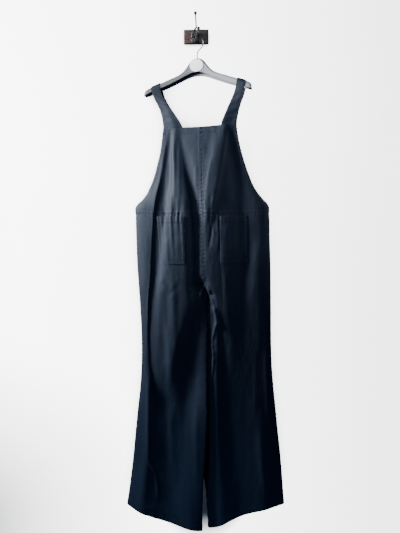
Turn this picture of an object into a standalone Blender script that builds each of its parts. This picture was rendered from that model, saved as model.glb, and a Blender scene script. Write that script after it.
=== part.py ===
"""Wide-leg overalls hung on a plastic hanger, which hangs on an iron coat hook on a wooden wall block.

Metres, +Z up, the wall at y = 0 and the front of the garment towards -Y. The origin is the middle of the
block's back face. Left and right are the viewer's, looking at the front.
"""
import math
from collections import namedtuple

import bmesh
import bpy
import numpy as np
from mathutils import Matrix, Vector

# Cloth and sewing
CLOTH = 0.0018
SEAM_GAP = 0.0003
FRONT, BACK = -1, 1
LEFT, RIGHT = -1, 1

# Garment: the heights of its seams and edges below the block's middle, and its centre line
CENTRE_X = 0.0124
FRONT_NECK_Z = -0.2955
BACK_NECK_Z = -0.3020
NECK_TILT = 0.055
UNDERARM_Z = -0.5450
WAIST_Z = -0.5700
POCKET_TOP_Z = -0.5780
POCKET_BOTTOM_Z = -0.7310
CROTCH_Z = -0.8040
HEM_LEVEL_START_Z = -1.2500
INNER_HEM_Z = -1.6500
CROTCH_ROUNDING = 0.050
CROTCH_WIDTH = 0.030
LEGS_ROUND_Z = -1.0200

# The section of the garment at each height: half widths, how far front and back stand from the middle
# sheet, where that sheet is, its turn in degrees, half the armhole's opening, and half the gap of the legs
Section = namedtuple("Section", "z left right front back middle_y turn armhole leg_gap")
SECTIONS = (
    Section(-0.290, 0.1208, 0.1115, 0.020, 0.016, -0.0700, 13.0, 0.012, 0.0),
    Section(-0.335, 0.1268, 0.1183, 0.024, 0.018, -0.0700, 10.8, 0.011, 0.0),
    Section(-0.373, 0.1325, 0.1268, 0.027, 0.020, -0.0695, 9.2, 0.010, 0.0),
    Section(-0.410, 0.1420, 0.1372, 0.030, 0.022, -0.0690, 7.8, 0.009, 0.0),
    Section(-0.449, 0.1528, 0.1508, 0.032, 0.024, -0.0685, 6.5, 0.008, 0.0),
    Section(-0.488, 0.1690, 0.1680, 0.034, 0.025, -0.0680, 5.5, 0.006, 0.0),
    Section(-0.507, 0.1790, 0.1805, 0.035, 0.026, -0.0675, 5.1, 0.005, 0.0),
    Section(-0.527, 0.1955, 0.1975, 0.036, 0.027, -0.0670, 4.7, 0.003, 0.0),
    Section(-0.545, 0.2150, 0.2140, 0.037, 0.028, -0.0665, 4.3, 0.0, 0.0),
    Section(-0.575, 0.2165, 0.2172, 0.038, 0.029, -0.0660, 3.9, 0.0, 0.0),
    Section(-0.655, 0.2164, 0.2200, 0.039, 0.031, -0.0645, 2.9, 0.0, 0.0),
    Section(-0.735, 0.2150, 0.2230, 0.039, 0.031, -0.0630, 2.1, 0.0, 0.0),
    Section(-0.804, 0.2117, 0.2245, 0.038, 0.030, -0.0620, 1.5, 0.0, 0.0),
    Section(-0.895, 0.2075, 0.2258, 0.036, 0.029, -0.0605, 0.9, 0.0, 0.00115),
    Section(-0.975, 0.2055, 0.2267, 0.035, 0.029, -0.0595, 0.5, 0.0, 0.00115),
    Section(-1.060, 0.2070, 0.2288, 0.034, 0.028, -0.0590, 0.2, 0.0, 0.00115),
    Section(-1.142, 0.2125, 0.2345, 0.034, 0.028, -0.0590, 0.0, 0.0, 0.00115),
    Section(-1.225, 0.2230, 0.2427, 0.034, 0.028, -0.0590, 0.0, 0.0, 0.00115),
    Section(-1.310, 0.2330, 0.2511, 0.035, 0.029, -0.0590, 0.0, 0.0, 0.0022),
    Section(-1.395, 0.2425, 0.2600, 0.036, 0.030, -0.0590, 0.0, 0.0, 0.0035),
    Section(-1.483, 0.2545, 0.2672, 0.038, 0.031, -0.0590, 0.0, 0.0, 0.0070),
    Section(-1.570, 0.2680, 0.2735, 0.040, 0.032, -0.0590, 0.0, 0.0, 0.0110),
    Section(-1.655, 0.2760, 0.2790, 0.041, 0.033, -0.0590, 0.0, 0.0, 0.0138),
)

# The centre seam and the inseams don't hang quite straight
Sway = namedtuple("Sway", "z x")
INSEAM_SWAY = (
    Sway(-0.290, 0.0), Sway(-0.500, 0.001), Sway(-0.700, 0.0), Sway(-0.850, -0.002), Sway(-1.000, 0.002),
    Sway(-1.100, -0.001), Sway(-1.220, 0.003), Sway(-1.340, 0.001), Sway(-1.460, -0.001), Sway(-1.655, 0.0),
)

# The hem rises from the inseam to the side seam: by how much, and how the rise is spread
Hem = namedtuple("Hem", "rise power from_side")
HEMS = {LEFT: Hem(0.0850, 1.3, False), RIGHT: Hem(0.0800, 1.7, True)}

# The largest folds: a ridge, or a trough with a negative height, along a line down the cloth. Each row
# is where the fold's line lies at a height, how wide it is and how high it stands there
Crest = namedtuple("Crest", "z x width height")
FRONT_FOLDS = (
    # from the left strap down over the bib, the first ridge and the troughs on both its sides
    (Crest(-0.290, -0.086, 0.018, 0.003), Crest(-0.340, -0.089, 0.019, 0.006), Crest(-0.410, -0.091, 0.021, 0.009),
     Crest(-0.490, -0.087, 0.025, 0.010), Crest(-0.570, -0.082, 0.030, 0.006), Crest(-0.640, -0.080, 0.030, 0.0)),
    (Crest(-0.300, -0.107, 0.016, 0.0), Crest(-0.340, -0.110, 0.018, -0.003), Crest(-0.430, -0.125, 0.020, -0.008),
     Crest(-0.510, -0.141, 0.021, -0.012), Crest(-0.570, -0.153, 0.020, -0.013), Crest(-0.655, -0.160, 0.019, -0.014),
     Crest(-0.750, -0.167, 0.018, -0.015), Crest(-0.865, -0.178, 0.018, -0.014), Crest(-0.980, -0.181, 0.018, -0.012),
     Crest(-1.075, -0.176, 0.020, -0.010), Crest(-1.150, -0.166, 0.022, -0.007), Crest(-1.250, -0.160, 0.024, 0.0)),
    (Crest(-0.290, -0.066, 0.018, 0.0), Crest(-0.340, -0.062, 0.019, -0.004), Crest(-0.410, -0.054, 0.021, -0.008),
     Crest(-0.490, -0.040, 0.022, -0.009), Crest(-0.570, -0.030, 0.022, -0.009), Crest(-0.655, -0.026, 0.020, -0.009),
     Crest(-0.800, -0.028, 0.020, -0.008), Crest(-0.920, -0.040, 0.024, -0.007), Crest(-1.060, -0.055, 0.028, -0.006),
     Crest(-1.200, -0.070, 0.030, -0.004), Crest(-1.300, -0.080, 0.030, 0.0)),
    # the crest from the right corner of the neck to the middle of the waist, and the broad valley beyond it
    (Crest(-0.285, 0.066, 0.018, 0.002), Crest(-0.340, 0.056, 0.020, 0.006), Crest(-0.410, 0.042, 0.022, 0.008),
     Crest(-0.490, 0.030, 0.022, 0.008), Crest(-0.570, 0.018, 0.020, 0.006), Crest(-0.640, 0.012, 0.018, 0.0)),
    (Crest(-0.285, 0.098, 0.020, 0.0), Crest(-0.335, 0.100, 0.024, -0.006), Crest(-0.410, 0.112, 0.030, -0.011),
     Crest(-0.490, 0.122, 0.034, -0.014), Crest(-0.570, 0.130, 0.036, -0.015), Crest(-0.720, 0.134, 0.036, -0.015),
     Crest(-0.860, 0.130, 0.036, -0.012), Crest(-0.960, 0.124, 0.036, -0.009), Crest(-1.200, 0.112, 0.036, -0.006),
     Crest(-1.450, 0.118, 0.034, -0.008), Crest(-1.660, 0.124, 0.034, -0.010)),
    # the broad soft fold that hangs from the left pocket, and the one beside the right pocket
    (Crest(-0.560, -0.100, 0.030, 0.0), Crest(-0.655, -0.104, 0.036, 0.006), Crest(-0.860, -0.103, 0.038, 0.011),
     Crest(-1.000, -0.106, 0.034, 0.012), Crest(-1.130, -0.122, 0.028, 0.009), Crest(-1.200, -0.130, 0.026, 0.0)),
    (Crest(-0.570, 0.060, 0.018, 0.0), Crest(-0.640, 0.060, 0.018, 0.005), Crest(-0.740, 0.062, 0.018, 0.007),
     Crest(-0.860, 0.066, 0.020, 0.006), Crest(-1.000, 0.070, 0.022, 0.0)),
    # the legs: fullness along both inseams, and the waves that reach the hems
    (Crest(-0.860, -0.026, 0.020, 0.0), Crest(-0.960, -0.026, 0.024, 0.008), Crest(-1.150, -0.028, 0.030, 0.012),
     Crest(-1.350, -0.034, 0.036, 0.013), Crest(-1.660, -0.050, 0.040, 0.014)),
    (Crest(-0.860, 0.030, 0.020, 0.0), Crest(-0.960, 0.030, 0.024, 0.006), Crest(-1.150, 0.036, 0.030, 0.009),
     Crest(-1.350, 0.046, 0.036, 0.010), Crest(-1.660, 0.062, 0.038, 0.011)),
    (Crest(-1.150, -0.120, 0.030, 0.0), Crest(-1.300, -0.124, 0.036, -0.009), Crest(-1.450, -0.130, 0.040, -0.012),
     Crest(-1.660, -0.138, 0.040, -0.010)),
    (Crest(-1.060, -0.178, 0.014, 0.0), Crest(-1.200, -0.184, 0.016, 0.006), Crest(-1.400, -0.196, 0.018, 0.009),
     Crest(-1.540, -0.212, 0.022, 0.008), Crest(-1.660, -0.222, 0.024, 0.006)),
    (Crest(-1.100, 0.180, 0.030, 0.0), Crest(-1.300, 0.190, 0.032, 0.008), Crest(-1.500, 0.202, 0.034, 0.011),
     Crest(-1.660, 0.212, 0.034, 0.011)),
)
BACK_FOLDS = (
    (Crest(-0.300, 0.082, 0.014, 0.003), Crest(-0.400, 0.088, 0.020, 0.008), Crest(-0.520, 0.092, 0.028, 0.008),
     Crest(-0.660, 0.096, 0.034, 0.005), Crest(-0.780, 0.098, 0.034, 0.0)),
    (Crest(-0.310, -0.082, 0.014, 0.002), Crest(-0.420, -0.092, 0.022, 0.007), Crest(-0.560, -0.098, 0.030, 0.007),
     Crest(-0.700, -0.102, 0.034, 0.004), Crest(-0.800, -0.104, 0.034, 0.0)),
    (Crest(-0.330, 0.030, 0.024, 0.0), Crest(-0.450, 0.026, 0.030, -0.006), Crest(-0.600, 0.030, 0.034, -0.007),
     Crest(-0.740, 0.046, 0.034, -0.004), Crest(-0.820, 0.050, 0.034, 0.0)),
    (Crest(-0.420, -0.150, 0.020, 0.0), Crest(-0.560, -0.160, 0.024, -0.008), Crest(-0.760, -0.162, 0.026, -0.009),
     Crest(-0.960, -0.150, 0.030, -0.006), Crest(-1.150, -0.146, 0.034, 0.0)),
    (Crest(-0.480, 0.150, 0.024, 0.0), Crest(-0.640, 0.162, 0.028, -0.008), Crest(-0.860, 0.164, 0.030, -0.009),
     Crest(-1.100, 0.156, 0.034, -0.004), Crest(-1.250, 0.150, 0.034, 0.0)),
    (Crest(-0.820, -0.100, 0.034, 0.0), Crest(-1.050, -0.104, 0.040, 0.006), Crest(-1.350, -0.112, 0.044, 0.008),
     Crest(-1.660, -0.120, 0.046, 0.009)),
    (Crest(-0.820, 0.108, 0.034, 0.0), Crest(-1.050, 0.110, 0.040, 0.005), Crest(-1.350, 0.118, 0.044, 0.007),
     Crest(-1.660, 0.128, 0.046, 0.009)),
    (Crest(-1.150, -0.196, 0.030, 0.0), Crest(-1.400, -0.200, 0.034, -0.006), Crest(-1.660, -0.210, 0.036, -0.009)),
    (Crest(-1.150, 0.200, 0.030, 0.0), Crest(-1.400, 0.206, 0.034, -0.006), Crest(-1.660, 0.214, 0.036, -0.009)),
    (Crest(-1.100, 0.040, 0.028, 0.0), Crest(-1.400, 0.046, 0.032, -0.006), Crest(-1.660, 0.056, 0.034, -0.009)),
    (Crest(-1.000, -0.040, 0.028, 0.0), Crest(-1.300, -0.046, 0.032, -0.006), Crest(-1.660, -0.058, 0.034, -0.009)),
)

# The net over the cloth: shares of the half width, from the middle or the inseam to the side, with the
# pocket's edges and the straps' inner edges among them, and the heights of its rows
COLUMNS = (0.0, 0.03, 0.09, 0.17, 0.26, 0.37, 0.493, 0.56, 0.665, 0.78, 0.88, 0.95, 0.985, 1.0)
POCKET_COLUMNS = (4, 8)
STRAP_COLUMN = {LEFT: 6, RIGHT: 7}
BIB_SHARES = (0.0, 0.14, 0.29, 0.44, 0.58, 0.71, 0.83, 0.93, 1.0)
LEG_ROWS = (
    WAIST_Z, POCKET_TOP_Z, -0.6150, -0.6550, -0.6950, POCKET_BOTTOM_Z, -0.7650, -0.7880, -0.7990, CROTCH_Z, -0.8120,
    -0.8350, -0.8750, -0.9300, -1.0000, -1.0700, -1.1400, -1.2150, -1.2900, -1.3650, -1.4400, -1.5150, -1.5850,
    INNER_HEM_Z,
)

# Hanger: its turn away from the wall, its neck, and its arms' sections at each distance from the neck
HANGER_TURN = math.radians(20)
NECK_X, NECK_Y = 0.0028, -0.0700
ARM_LENGTH = 0.1810
ARM_BOW = 0.0100
HANGER_WALL = 0.0024
CHANNEL_ROOF = 0.0045
CHANNEL_RISE = 0.0200
SOLID_END = 0.0040
CUT_PAST = 0.0200
Arm = namedtuple("Arm", "reach top front_low back_low depth")
ARMS = (
    Arm(0.0000, -0.0810, -0.1235, -0.1355, 0.0160), Arm(0.0100, -0.0820, -0.1243, -0.1357, 0.0160),
    Arm(0.0200, -0.0880, -0.1275, -0.1372, 0.0160), Arm(0.0300, -0.0990, -0.1310, -0.1398, 0.0160),
    Arm(0.0380, -0.1095, -0.1342, -0.1425, 0.0160), Arm(0.0500, -0.1205, -0.1395, -0.1470, 0.0162),
    Arm(0.0640, -0.1283, -0.1455, -0.1525, 0.0166), Arm(0.0950, -0.1395, -0.1582, -0.1642, 0.0180),
    Arm(0.1265, -0.1508, -0.1690, -0.1745, 0.0200), Arm(0.1600, -0.1625, -0.1800, -0.1850, 0.0215),
    Arm(0.1720, -0.1680, -0.1850, -0.1890, 0.0205), Arm(0.1780, -0.1730, -0.1880, -0.1910, 0.0170),
    Arm(0.1810, -0.1800, -0.1890, -0.1905, 0.0110),
)
ARM_STATIONS = 13
ROUND_STEPS = 8

# Straps: where each one crosses the hanger's arm, its width there, its clearance over the arm, and how
# far its two edges have come from the bib to that place at each share of the height
STRAP_REACH = {LEFT: -0.1401, RIGHT: 0.1477}
STRAP_WIDTH = 0.0270
STRAP_CLOTH = 0.0024
STRAP_CLEARANCE = 0.0006
STRAP_WIDTHS = 5
STRAP_FALL_ROWS = 9
STRAP_BEND = 0.0060
Run = namedtuple("Run", "share inner outer")
STRAP_RUN = (
    Run(0.00, 0.000, 0.000), Run(0.08, 0.060, 0.010), Run(0.20, 0.190, 0.048), Run(0.34, 0.355, 0.148),
    Run(0.48, 0.525, 0.284), Run(0.61, 0.690, 0.462), Run(0.75, 0.845, 0.690), Run(0.88, 0.935, 0.855),
    Run(1.00, 1.000, 1.000),
)

# Hanger's wire hook and its disc
WIRE = 0.0034
HOOK_RADIUS = 0.0235
HOOK_CENTRE_R, HOOK_CENTRE_Z = -0.0035, -0.0349
HOOK_FOOT_Z = -0.0807
HOOK_END = 150
DISC_WIDTH, DISC_HEIGHT = 0.0445, 0.0380
DISC_THICKNESS = 0.0020
DISC_Z = -0.1040

# Wall block and its iron hook
BLOCK_SIZE = Vector((0.0810, 0.0180, 0.0440))
BLOCK_CHAMFER = 0.0012
PLATE_SIZE = Vector((0.0220, 0.0030, 0.0300))
PLATE_X, PLATE_Z = -0.0050, -0.0040
UPPER_TIP = Vector((-0.0017, -0.0850, 0.0531))
LOWER_TIP = Vector((0.0075, -0.0920, 0.0050))
SEAT = Vector((-0.0005, -0.0688, -0.0136))
PRONG = 0.0050
KNOB_RADIUS = 0.0052
SCREW_RADIUS = 0.0032
SCREW_RISE = 0.0012
SCREWS = (("screw_upper", -0.0010, 0.0055), ("screw_lower", -0.0110, -0.0135))
WELD = 1e-6


def smooth_column(rows, name, at):
    """A column of a table, read at any height or reach on a smooth curve through its rows."""
    keys = np.array([row[0] for row in rows])
    values = np.array([getattr(row, name) for row in rows])
    if keys[0] > keys[-1]:
        keys, values = keys[::-1], values[::-1]
    slopes = np.gradient(values, keys)
    at = np.clip(np.asarray(at, float), keys[0], keys[-1])
    k = np.clip(np.searchsorted(keys, at, side="right") - 1, 0, len(keys) - 2)
    span = keys[k + 1] - keys[k]
    t = (at - keys[k]) / span
    return (
        values[k] * (1 + 2 * t) * (1 - t) ** 2
        + slopes[k] * span * t * (1 - t) ** 2
        + values[k + 1] * t * t * (3 - 2 * t)
        + slopes[k + 1] * span * t * t * (t - 1)
    )


def ease(t):
    t = np.clip(t, 0.0, 1.0)
    return t * t * (3 - 2 * t)


def crotch_dip(x, half, z):
    """0 on the crotch and along the inseams, 1 where the two legs hang as one tube."""
    above = np.maximum(z - CROTCH_Z, 0.0) / CROTCH_ROUNDING
    below = ease((CROTCH_Z - z) / (CROTCH_Z - LEGS_ROUND_Z))
    width = CROTCH_WIDTH + (half / 2 - CROTCH_WIDTH) * below
    far = np.minimum(np.sqrt((x / width) ** 2 + above**2), 1.0)
    return np.sqrt(1 - (1 - far) ** 2)


def depth_share(u, x, half, z):
    """How much of the section's depth the cloth has at a share of the half width."""
    free_edge = ease((z - UNDERARM_Z) / (FRONT_NECK_Z - UNDERARM_Z))
    return np.maximum(1 - u * u, 0.0) ** (0.5 + 0.4 * free_edge) * crotch_dip(x, half, z)


def fold_height(folds, x, z):
    total = np.zeros(np.broadcast(x, z).shape)
    for crests in folds:
        lowest, highest = crests[-1].z, crests[0].z
        inside = (z >= lowest) & (z <= highest)
        line = smooth_column(crests, "x", z)
        width = smooth_column(crests, "width", z)
        height = smooth_column(crests, "height", z)
        total += np.where(inside, height * np.exp(-(((x - line) / width) ** 2)), 0.0)
    return total


def seam_fade(u, x, half, z):
    """Folds run out just before the side seams and the inseams."""
    return (1 - u**14) * crotch_dip(4 * x, half, z)


def cloth_point(side, layer, u, z):
    """A point of the middle of the cloth, u from the centre line or inseam to the side edge."""
    u, z = np.asarray(u, float), np.asarray(z, float)
    half = smooth_column(SECTIONS, "left" if side == LEFT else "right", z)
    inner = smooth_column(SECTIONS, "leg_gap", z) * (z < CROTCH_Z)
    across = u * (half - inner)
    sway = smooth_column(INSEAM_SWAY, "x", z) * (1 - u) ** 2
    x = side * (inner + across) + sway
    armhole = np.maximum(smooth_column(SECTIONS, "armhole", z), 0.0) * (z > UNDERARM_Z)
    depth = smooth_column(SECTIONS, "front" if layer == FRONT else "back", z)
    stand = armhole + (depth - armhole) * depth_share(u, across, half, z)
    folds = FRONT_FOLDS if layer == FRONT else BACK_FOLDS
    stand = stand + fold_height(folds, x, z) * seam_fade(u, across, half, z)
    turn = np.radians(smooth_column(SECTIONS, "turn", z))
    y = smooth_column(SECTIONS, "middle_y", z) - x * np.tan(turn) + layer * stand
    return np.stack(np.broadcast_arrays(CENTRE_X + x, y, z), axis=-1)


def neck_height(side, layer, u):
    """The top edge of the bib, a little higher towards the right on the front."""
    if layer == BACK:
        return BACK_NECK_Z + 0 * u
    rise = NECK_TILT * SECTIONS[0].right * u if side == RIGHT else 0 * u
    return FRONT_NECK_Z + rise


def hem_height(side, u):
    hem = HEMS[side]
    share = 1 - (1 - u) ** hem.power if hem.from_side else u**hem.power
    return INNER_HEM_Z + hem.rise * share


def net_heights(side, layer):
    """Heights of the net's rows by column, from the neck to the hem."""
    u = np.array(COLUMNS)
    neck = neck_height(side, layer, u)
    rows = [neck + share * (UNDERARM_Z - neck) for share in BIB_SHARES]
    for z in LEG_ROWS:
        dip = ease((HEM_LEVEL_START_Z - z) / (HEM_LEVEL_START_Z - INNER_HEM_Z))
        rows.append(z + dip * (hem_height(side, u) - INNER_HEM_Z))
    return np.array(rows)


UNDERARM_ROW = len(BIB_SHARES) - 1
WAIST_ROW = len(BIB_SHARES)
CROTCH_ROW = WAIST_ROW + LEG_ROWS.index(CROTCH_Z)
POCKET_ROWS = (WAIST_ROW + LEG_ROWS.index(POCKET_TOP_Z), WAIST_ROW + LEG_ROWS.index(POCKET_BOTTOM_Z))
LAST_ROW = WAIST_ROW + len(LEG_ROWS) - 1
LAST_COLUMN = len(COLUMNS) - 1


def quads_of(rows, columns):
    for i in range(rows - 1):
        for j in range(columns - 1):
            yield (i, j), (i, j + 1), (i + 1, j + 1), (i + 1, j)


def garment_net():
    """Points and normals of the whole garment, sewn together, so that panels share them at each seam."""
    mesh = bmesh.new()
    shared = {}

    def key(side, layer, i, j):
        if j == 0 and i >= CROTCH_ROW:
            layer = 0
        if j == 0 and i <= CROTCH_ROW:
            side = 0
        if j == LAST_COLUMN and i >= UNDERARM_ROW:
            layer = 0
        return side, layer, i, j

    points = {}
    for side in (LEFT, RIGHT):
        for layer in (FRONT, BACK):
            heights = net_heights(side, layer)
            points[side, layer] = cloth_point(side, layer, np.array(COLUMNS)[None, :], heights)
            for i in range(LAST_ROW + 1):
                for j in range(LAST_COLUMN + 1):
                    name = key(side, layer, i, j)
                    if name not in shared:
                        shared[name] = mesh.verts.new(points[side, layer][i, j])
    for side in (LEFT, RIGHT):
        for layer in (FRONT, BACK):
            for quad in quads_of(LAST_ROW + 1, LAST_COLUMN + 1):
                corners = [shared[key(side, layer, i, j)] for i, j in quad]
                if side * layer == -1:
                    corners.reverse()
                mesh.faces.new(corners)
    mesh.normal_update()
    normals = {}
    for side in (LEFT, RIGHT):
        for layer in (FRONT, BACK):
            grid = np.zeros((LAST_ROW + 1, LAST_COLUMN + 1, 3))
            for i in range(LAST_ROW + 1):
                for j in range(LAST_COLUMN + 1):
                    grid[i, j] = shared[key(side, layer, i, j)].normal
            normals[side, layer] = grid
    mesh.free()
    return points, normals


def pulled_in(points, edges):
    """A grid whose named edges stop half a seam gap short."""
    moved = points.copy()
    steps = {
        "top": ((0, slice(None)), (1, slice(None))),
        "bottom": ((-1, slice(None)), (-2, slice(None))),
        "inner": ((slice(None), 0), (slice(None), 1)),
        "outer": ((slice(None), -1), (slice(None), -2)),
    }
    for name in edges:
        rim, inside = steps[name]
        way = points[inside] - points[rim]
        way /= np.maximum(np.linalg.norm(way, axis=-1, keepdims=True), 1e-9)
        moved[rim] += way * SEAM_GAP / 2
    return moved


def shell_object(name, outside, inside, material, flip):
    """One closed wall between two grids of points."""
    rows, columns = outside.shape[:2]
    mesh = bmesh.new()
    outer = [[mesh.verts.new(p) for p in row] for row in outside]
    inner = [[mesh.verts.new(p) for p in row] for row in inside]

    def face(*corners):
        corners = list(corners)
        if flip:
            corners.reverse()
        mesh.faces.new(corners)

    for (a, b, c, d) in quads_of(rows, columns):
        o = [outer[i][j] for i, j in (a, b, c, d)]
        n = [inner[i][j] for i, j in (a, b, c, d)]
        face(o[0], o[1], o[2])
        face(o[0], o[2], o[3])
        face(n[2], n[1], n[0])
        face(n[3], n[2], n[0])
    rim = [(0, j) for j in range(columns)] + [(i, columns - 1) for i in range(1, rows)]
    rim += [(rows - 1, j) for j in range(columns - 2, -1, -1)] + [(i, 0) for i in range(rows - 2, 0, -1)]
    for (i, j), (k, m) in zip(rim, rim[1:] + rim[:1]):
        face(outer[k][m], outer[i][j], inner[i][j])
        face(outer[k][m], inner[i][j], inner[k][m])
    return add_mesh(name, mesh, material)


def add_mesh(name, mesh, material):
    data = bpy.data.meshes.new(name)
    mesh.to_mesh(data)
    mesh.free()
    data.shade_smooth()
    data.set_sharp_from_angle(angle=math.radians(50))
    data.materials.append(material)
    obj = bpy.data.objects.new(name, data)
    parts.objects.link(obj)
    return obj


def panel(name, net, side, layer, rows, columns, seams, material, rise=0.0, wall=CLOTH):
    """A sewn panel: the net's points between two rows and two columns, given a wall."""
    points, normals = net
    window = np.s_[rows[0] : rows[1] + 1, columns[0] : columns[1] + 1]
    middle, normal = points[side, layer][window], normals[side, layer][window]
    outside = pulled_in(middle + normal * (rise + wall / 2), seams)
    inside = pulled_in(middle + normal * (rise - wall / 2), seams)
    if "top" in seams or rows[0] == 0:
        for grid in (outside, inside):
            level = middle[0, :, 2] - (SEAM_GAP / 2)
            grid[0, :, 2] = np.minimum(grid[0, :, 2], level)
    for grid in (outside, inside):
        across = side * (grid[..., 0] - CENTRE_X)
        grid[..., 0] = CENTRE_X + side * np.maximum(across, SEAM_GAP / 2)
    return shell_object(name, outside, inside, material, flip=side * layer == -1)


def make_panels(net, cloth):
    both = (0, LAST_COLUMN)
    for side, side_name in ((LEFT, "left"), (RIGHT, "right")):
        for layer, layer_name in ((FRONT, "front"), (BACK, "back")):
            bib = panel(f"{layer_name}_bib_{side_name}", net, side, layer, (0, WAIST_ROW), both,
                        ("inner", "bottom"), cloth)
            part_seam_edge(bib, net, side, layer)
            panel(f"{layer_name}_leg_{side_name}", net, side, layer, (WAIST_ROW, LAST_ROW), both,
                  ("inner", "outer", "top"), cloth)
        panel(f"pocket_{side_name}", net, side, FRONT, POCKET_ROWS, POCKET_COLUMNS, (), cloth,
              rise=CLOTH + SEAM_GAP)


def part_seam_edge(bib, net, side, layer):
    """Below the underarm the bib's side edge is a seam, so it stops half a seam gap short there too."""
    points, _ = net
    rows = WAIST_ROW + 1
    columns = LAST_COLUMN + 1
    for i in range(UNDERARM_ROW, rows):
        way = Vector(points[side, layer][i, -2] - points[side, layer][i, -1]).normalized() * SEAM_GAP / 2
        for start in (0, rows * columns):
            bib.data.vertices[start + i * columns + columns - 1].co += way


def arm_place(reach):
    """Where the middle of the hanger's arm lies, seen from above, with its forward direction."""
    along = np.array([math.cos(HANGER_TURN), -math.sin(HANGER_TURN)])
    forward = np.array([-math.sin(HANGER_TURN), -math.cos(HANGER_TURN)])
    bow = ARM_BOW * (reach / ARM_LENGTH) ** 2
    return np.array([NECK_X, NECK_Y]) + along * reach + forward * bow, forward


def arm_value(name, reach):
    return float(smooth_column(ARMS, name, abs(reach)))


def strap_grid(side):
    """The middle of a strap: up from the front bib, over the hanger's arm and down to the back bib."""
    widths = np.linspace(0.0, 1.0, STRAP_WIDTHS + 1)
    columns = []
    for w in widths:
        inner_first = STRAP_REACH[side] - side * STRAP_WIDTH * (0.5 - w)
        spot, forward = arm_place(inner_first)
        half = arm_value("depth", inner_first) / 2
        radius = half + STRAP_CLEARANCE + STRAP_CLOTH / 2
        centre_z = arm_value("top", inner_first) - half
        start = COLUMNS[STRAP_COLUMN[side]]
        u = start + (1 - start) * w
        column = []
        foot = {}
        for layer in (FRONT, BACK):
            z = float(neck_height(side, layer, np.array(u)))
            foot[layer] = cloth_point(side, layer, u, z) + np.array([0, 0, SEAM_GAP / 2])
        over = []
        for k in range(ROUND_STEPS + 1):
            angle = math.pi * k / ROUND_STEPS
            flat = spot + forward * radius * math.cos(angle)
            over.append(np.array([flat[0], flat[1], centre_z + radius * math.sin(angle)]))
        low = arm_value("back_low", inner_first) - STRAP_BEND
        for k in range(STRAP_FALL_ROWS):
            column.append(fall(foot[FRONT], over[0], low, radius, k / STRAP_FALL_ROWS, w))
        column.extend(over)
        for k in range(STRAP_FALL_ROWS - 1, -1, -1):
            column.append(fall(foot[BACK], over[-1], low, -radius, k / STRAP_FALL_ROWS, w))
        columns.append(column)
    return np.array(columns).transpose(1, 0, 2)


def face_y(x, radius):
    """How far forward a sheet on the arm's face lies at a place across the hanger."""
    reach = (x - NECK_X) / math.cos(HANGER_TURN)
    for _ in range(4):
        spot, forward = arm_place(reach)
        flat = spot + forward * radius
        reach += (x - flat[0]) / math.cos(HANGER_TURN)
    return flat[1]


def fall(foot, top, low, radius, share, w):
    """A point of the strap between the bib and the hanger, flat on the arm's face from its lower edge up."""
    inner, outer = smooth_column(STRAP_RUN, "inner", share), smooth_column(STRAP_RUN, "outer", share)
    x = foot[0] + (top[0] - foot[0]) * float(inner + (outer - inner) * w)
    back = ease(share * (top[2] - foot[2]) / (low - foot[2]))
    y = foot[1] + (face_y(x, radius) - foot[1]) * back
    return np.array([x, y, foot[2] + (top[2] - foot[2]) * share])


def make_strap(side, side_name, material):
    middle = strap_grid(side)
    mesh = bmesh.new()
    verts = [[mesh.verts.new(p) for p in row] for row in middle]
    for quad in quads_of(*middle.shape[:2]):
        corners = [verts[i][j] for i, j in quad]
        if side == LEFT:
            corners.reverse()
        mesh.faces.new(corners)
    mesh.normal_update()
    normal = np.array([[v.normal[:] for v in row] for row in verts])
    mesh.free()
    outside = middle + normal * STRAP_CLOTH / 2
    inside = middle - normal * STRAP_CLOTH / 2
    for grid in (outside, inside):
        for row in (0, -1):
            grid[row, :, 2] = middle[row, :, 2]
    return shell_object(f"strap_{side_name}", outside, inside, material, flip=side == LEFT)


def loft_object(name, sections, material=None):
    """A closed solid through rings of points, with flat ends."""
    mesh = bmesh.new()
    rings = [[mesh.verts.new(p) for p in ring] for ring in sections]
    for a, b in zip(rings, rings[1:]):
        count = len(a)
        for k in range(count):
            n = (k + 1) % count
            mesh.faces.new((a[k], a[n], b[n], b[k]))
    mesh.faces.new(list(reversed(rings[0])))
    mesh.faces.new(rings[-1])
    bmesh.ops.recalc_face_normals(mesh, faces=mesh.faces)
    return add_mesh(name, mesh, material)


def arm_ring(reach, inset, top, front_low, back_low):
    """The hanger's section: a half-round top on straight sides, the back one a little longer."""
    spot, forward = arm_place(reach)
    radius = arm_value("depth", reach) / 2 - inset
    ring = []
    for k in range(ROUND_STEPS + 1):
        angle = math.pi * k / ROUND_STEPS
        flat = spot + forward * radius * math.cos(angle)
        ring.append((flat[0], flat[1], top - radius + radius * math.sin(angle)))
    for way, low in ((-1, back_low), (1, front_low)):
        flat = spot + forward * radius * way
        ring.append((flat[0], flat[1], low))
    return ring


def make_hanger(plastic):
    half = [ARM_LENGTH * math.sin(math.pi / 2 * k / ARM_STATIONS) for k in range(ARM_STATIONS + 1)]
    reaches = [-r for r in reversed(half[1:])] + half
    outer = [arm_ring(r, 0.0, *(arm_value(name, r) for name in ("top", "front_low", "back_low"))) for r in reaches]
    hanger = loft_object("hanger_body", outer, plastic)
    hollow = []
    for r in reaches:
        if abs(r) > ARM_LENGTH - SOLID_END:
            continue
        floor = arm_value("back_low", r) - CUT_PAST
        roof = min(arm_value("top", r), arm_value("front_low", r) + CHANNEL_RISE) - CHANNEL_ROOF
        hollow.append(arm_ring(r, HANGER_WALL, roof, floor, floor))
    cutter = loft_object("hanger_channel_cutter", hollow, plastic)
    parts.objects.unlink(cutter)
    cutters.objects.link(cutter)
    cutter.hide_render = True
    cutter.display_type = "WIRE"
    cut = hanger.modifiers.new("channel", "BOOLEAN")
    cut.operation = "DIFFERENCE"
    cut.object = cutter


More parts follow.
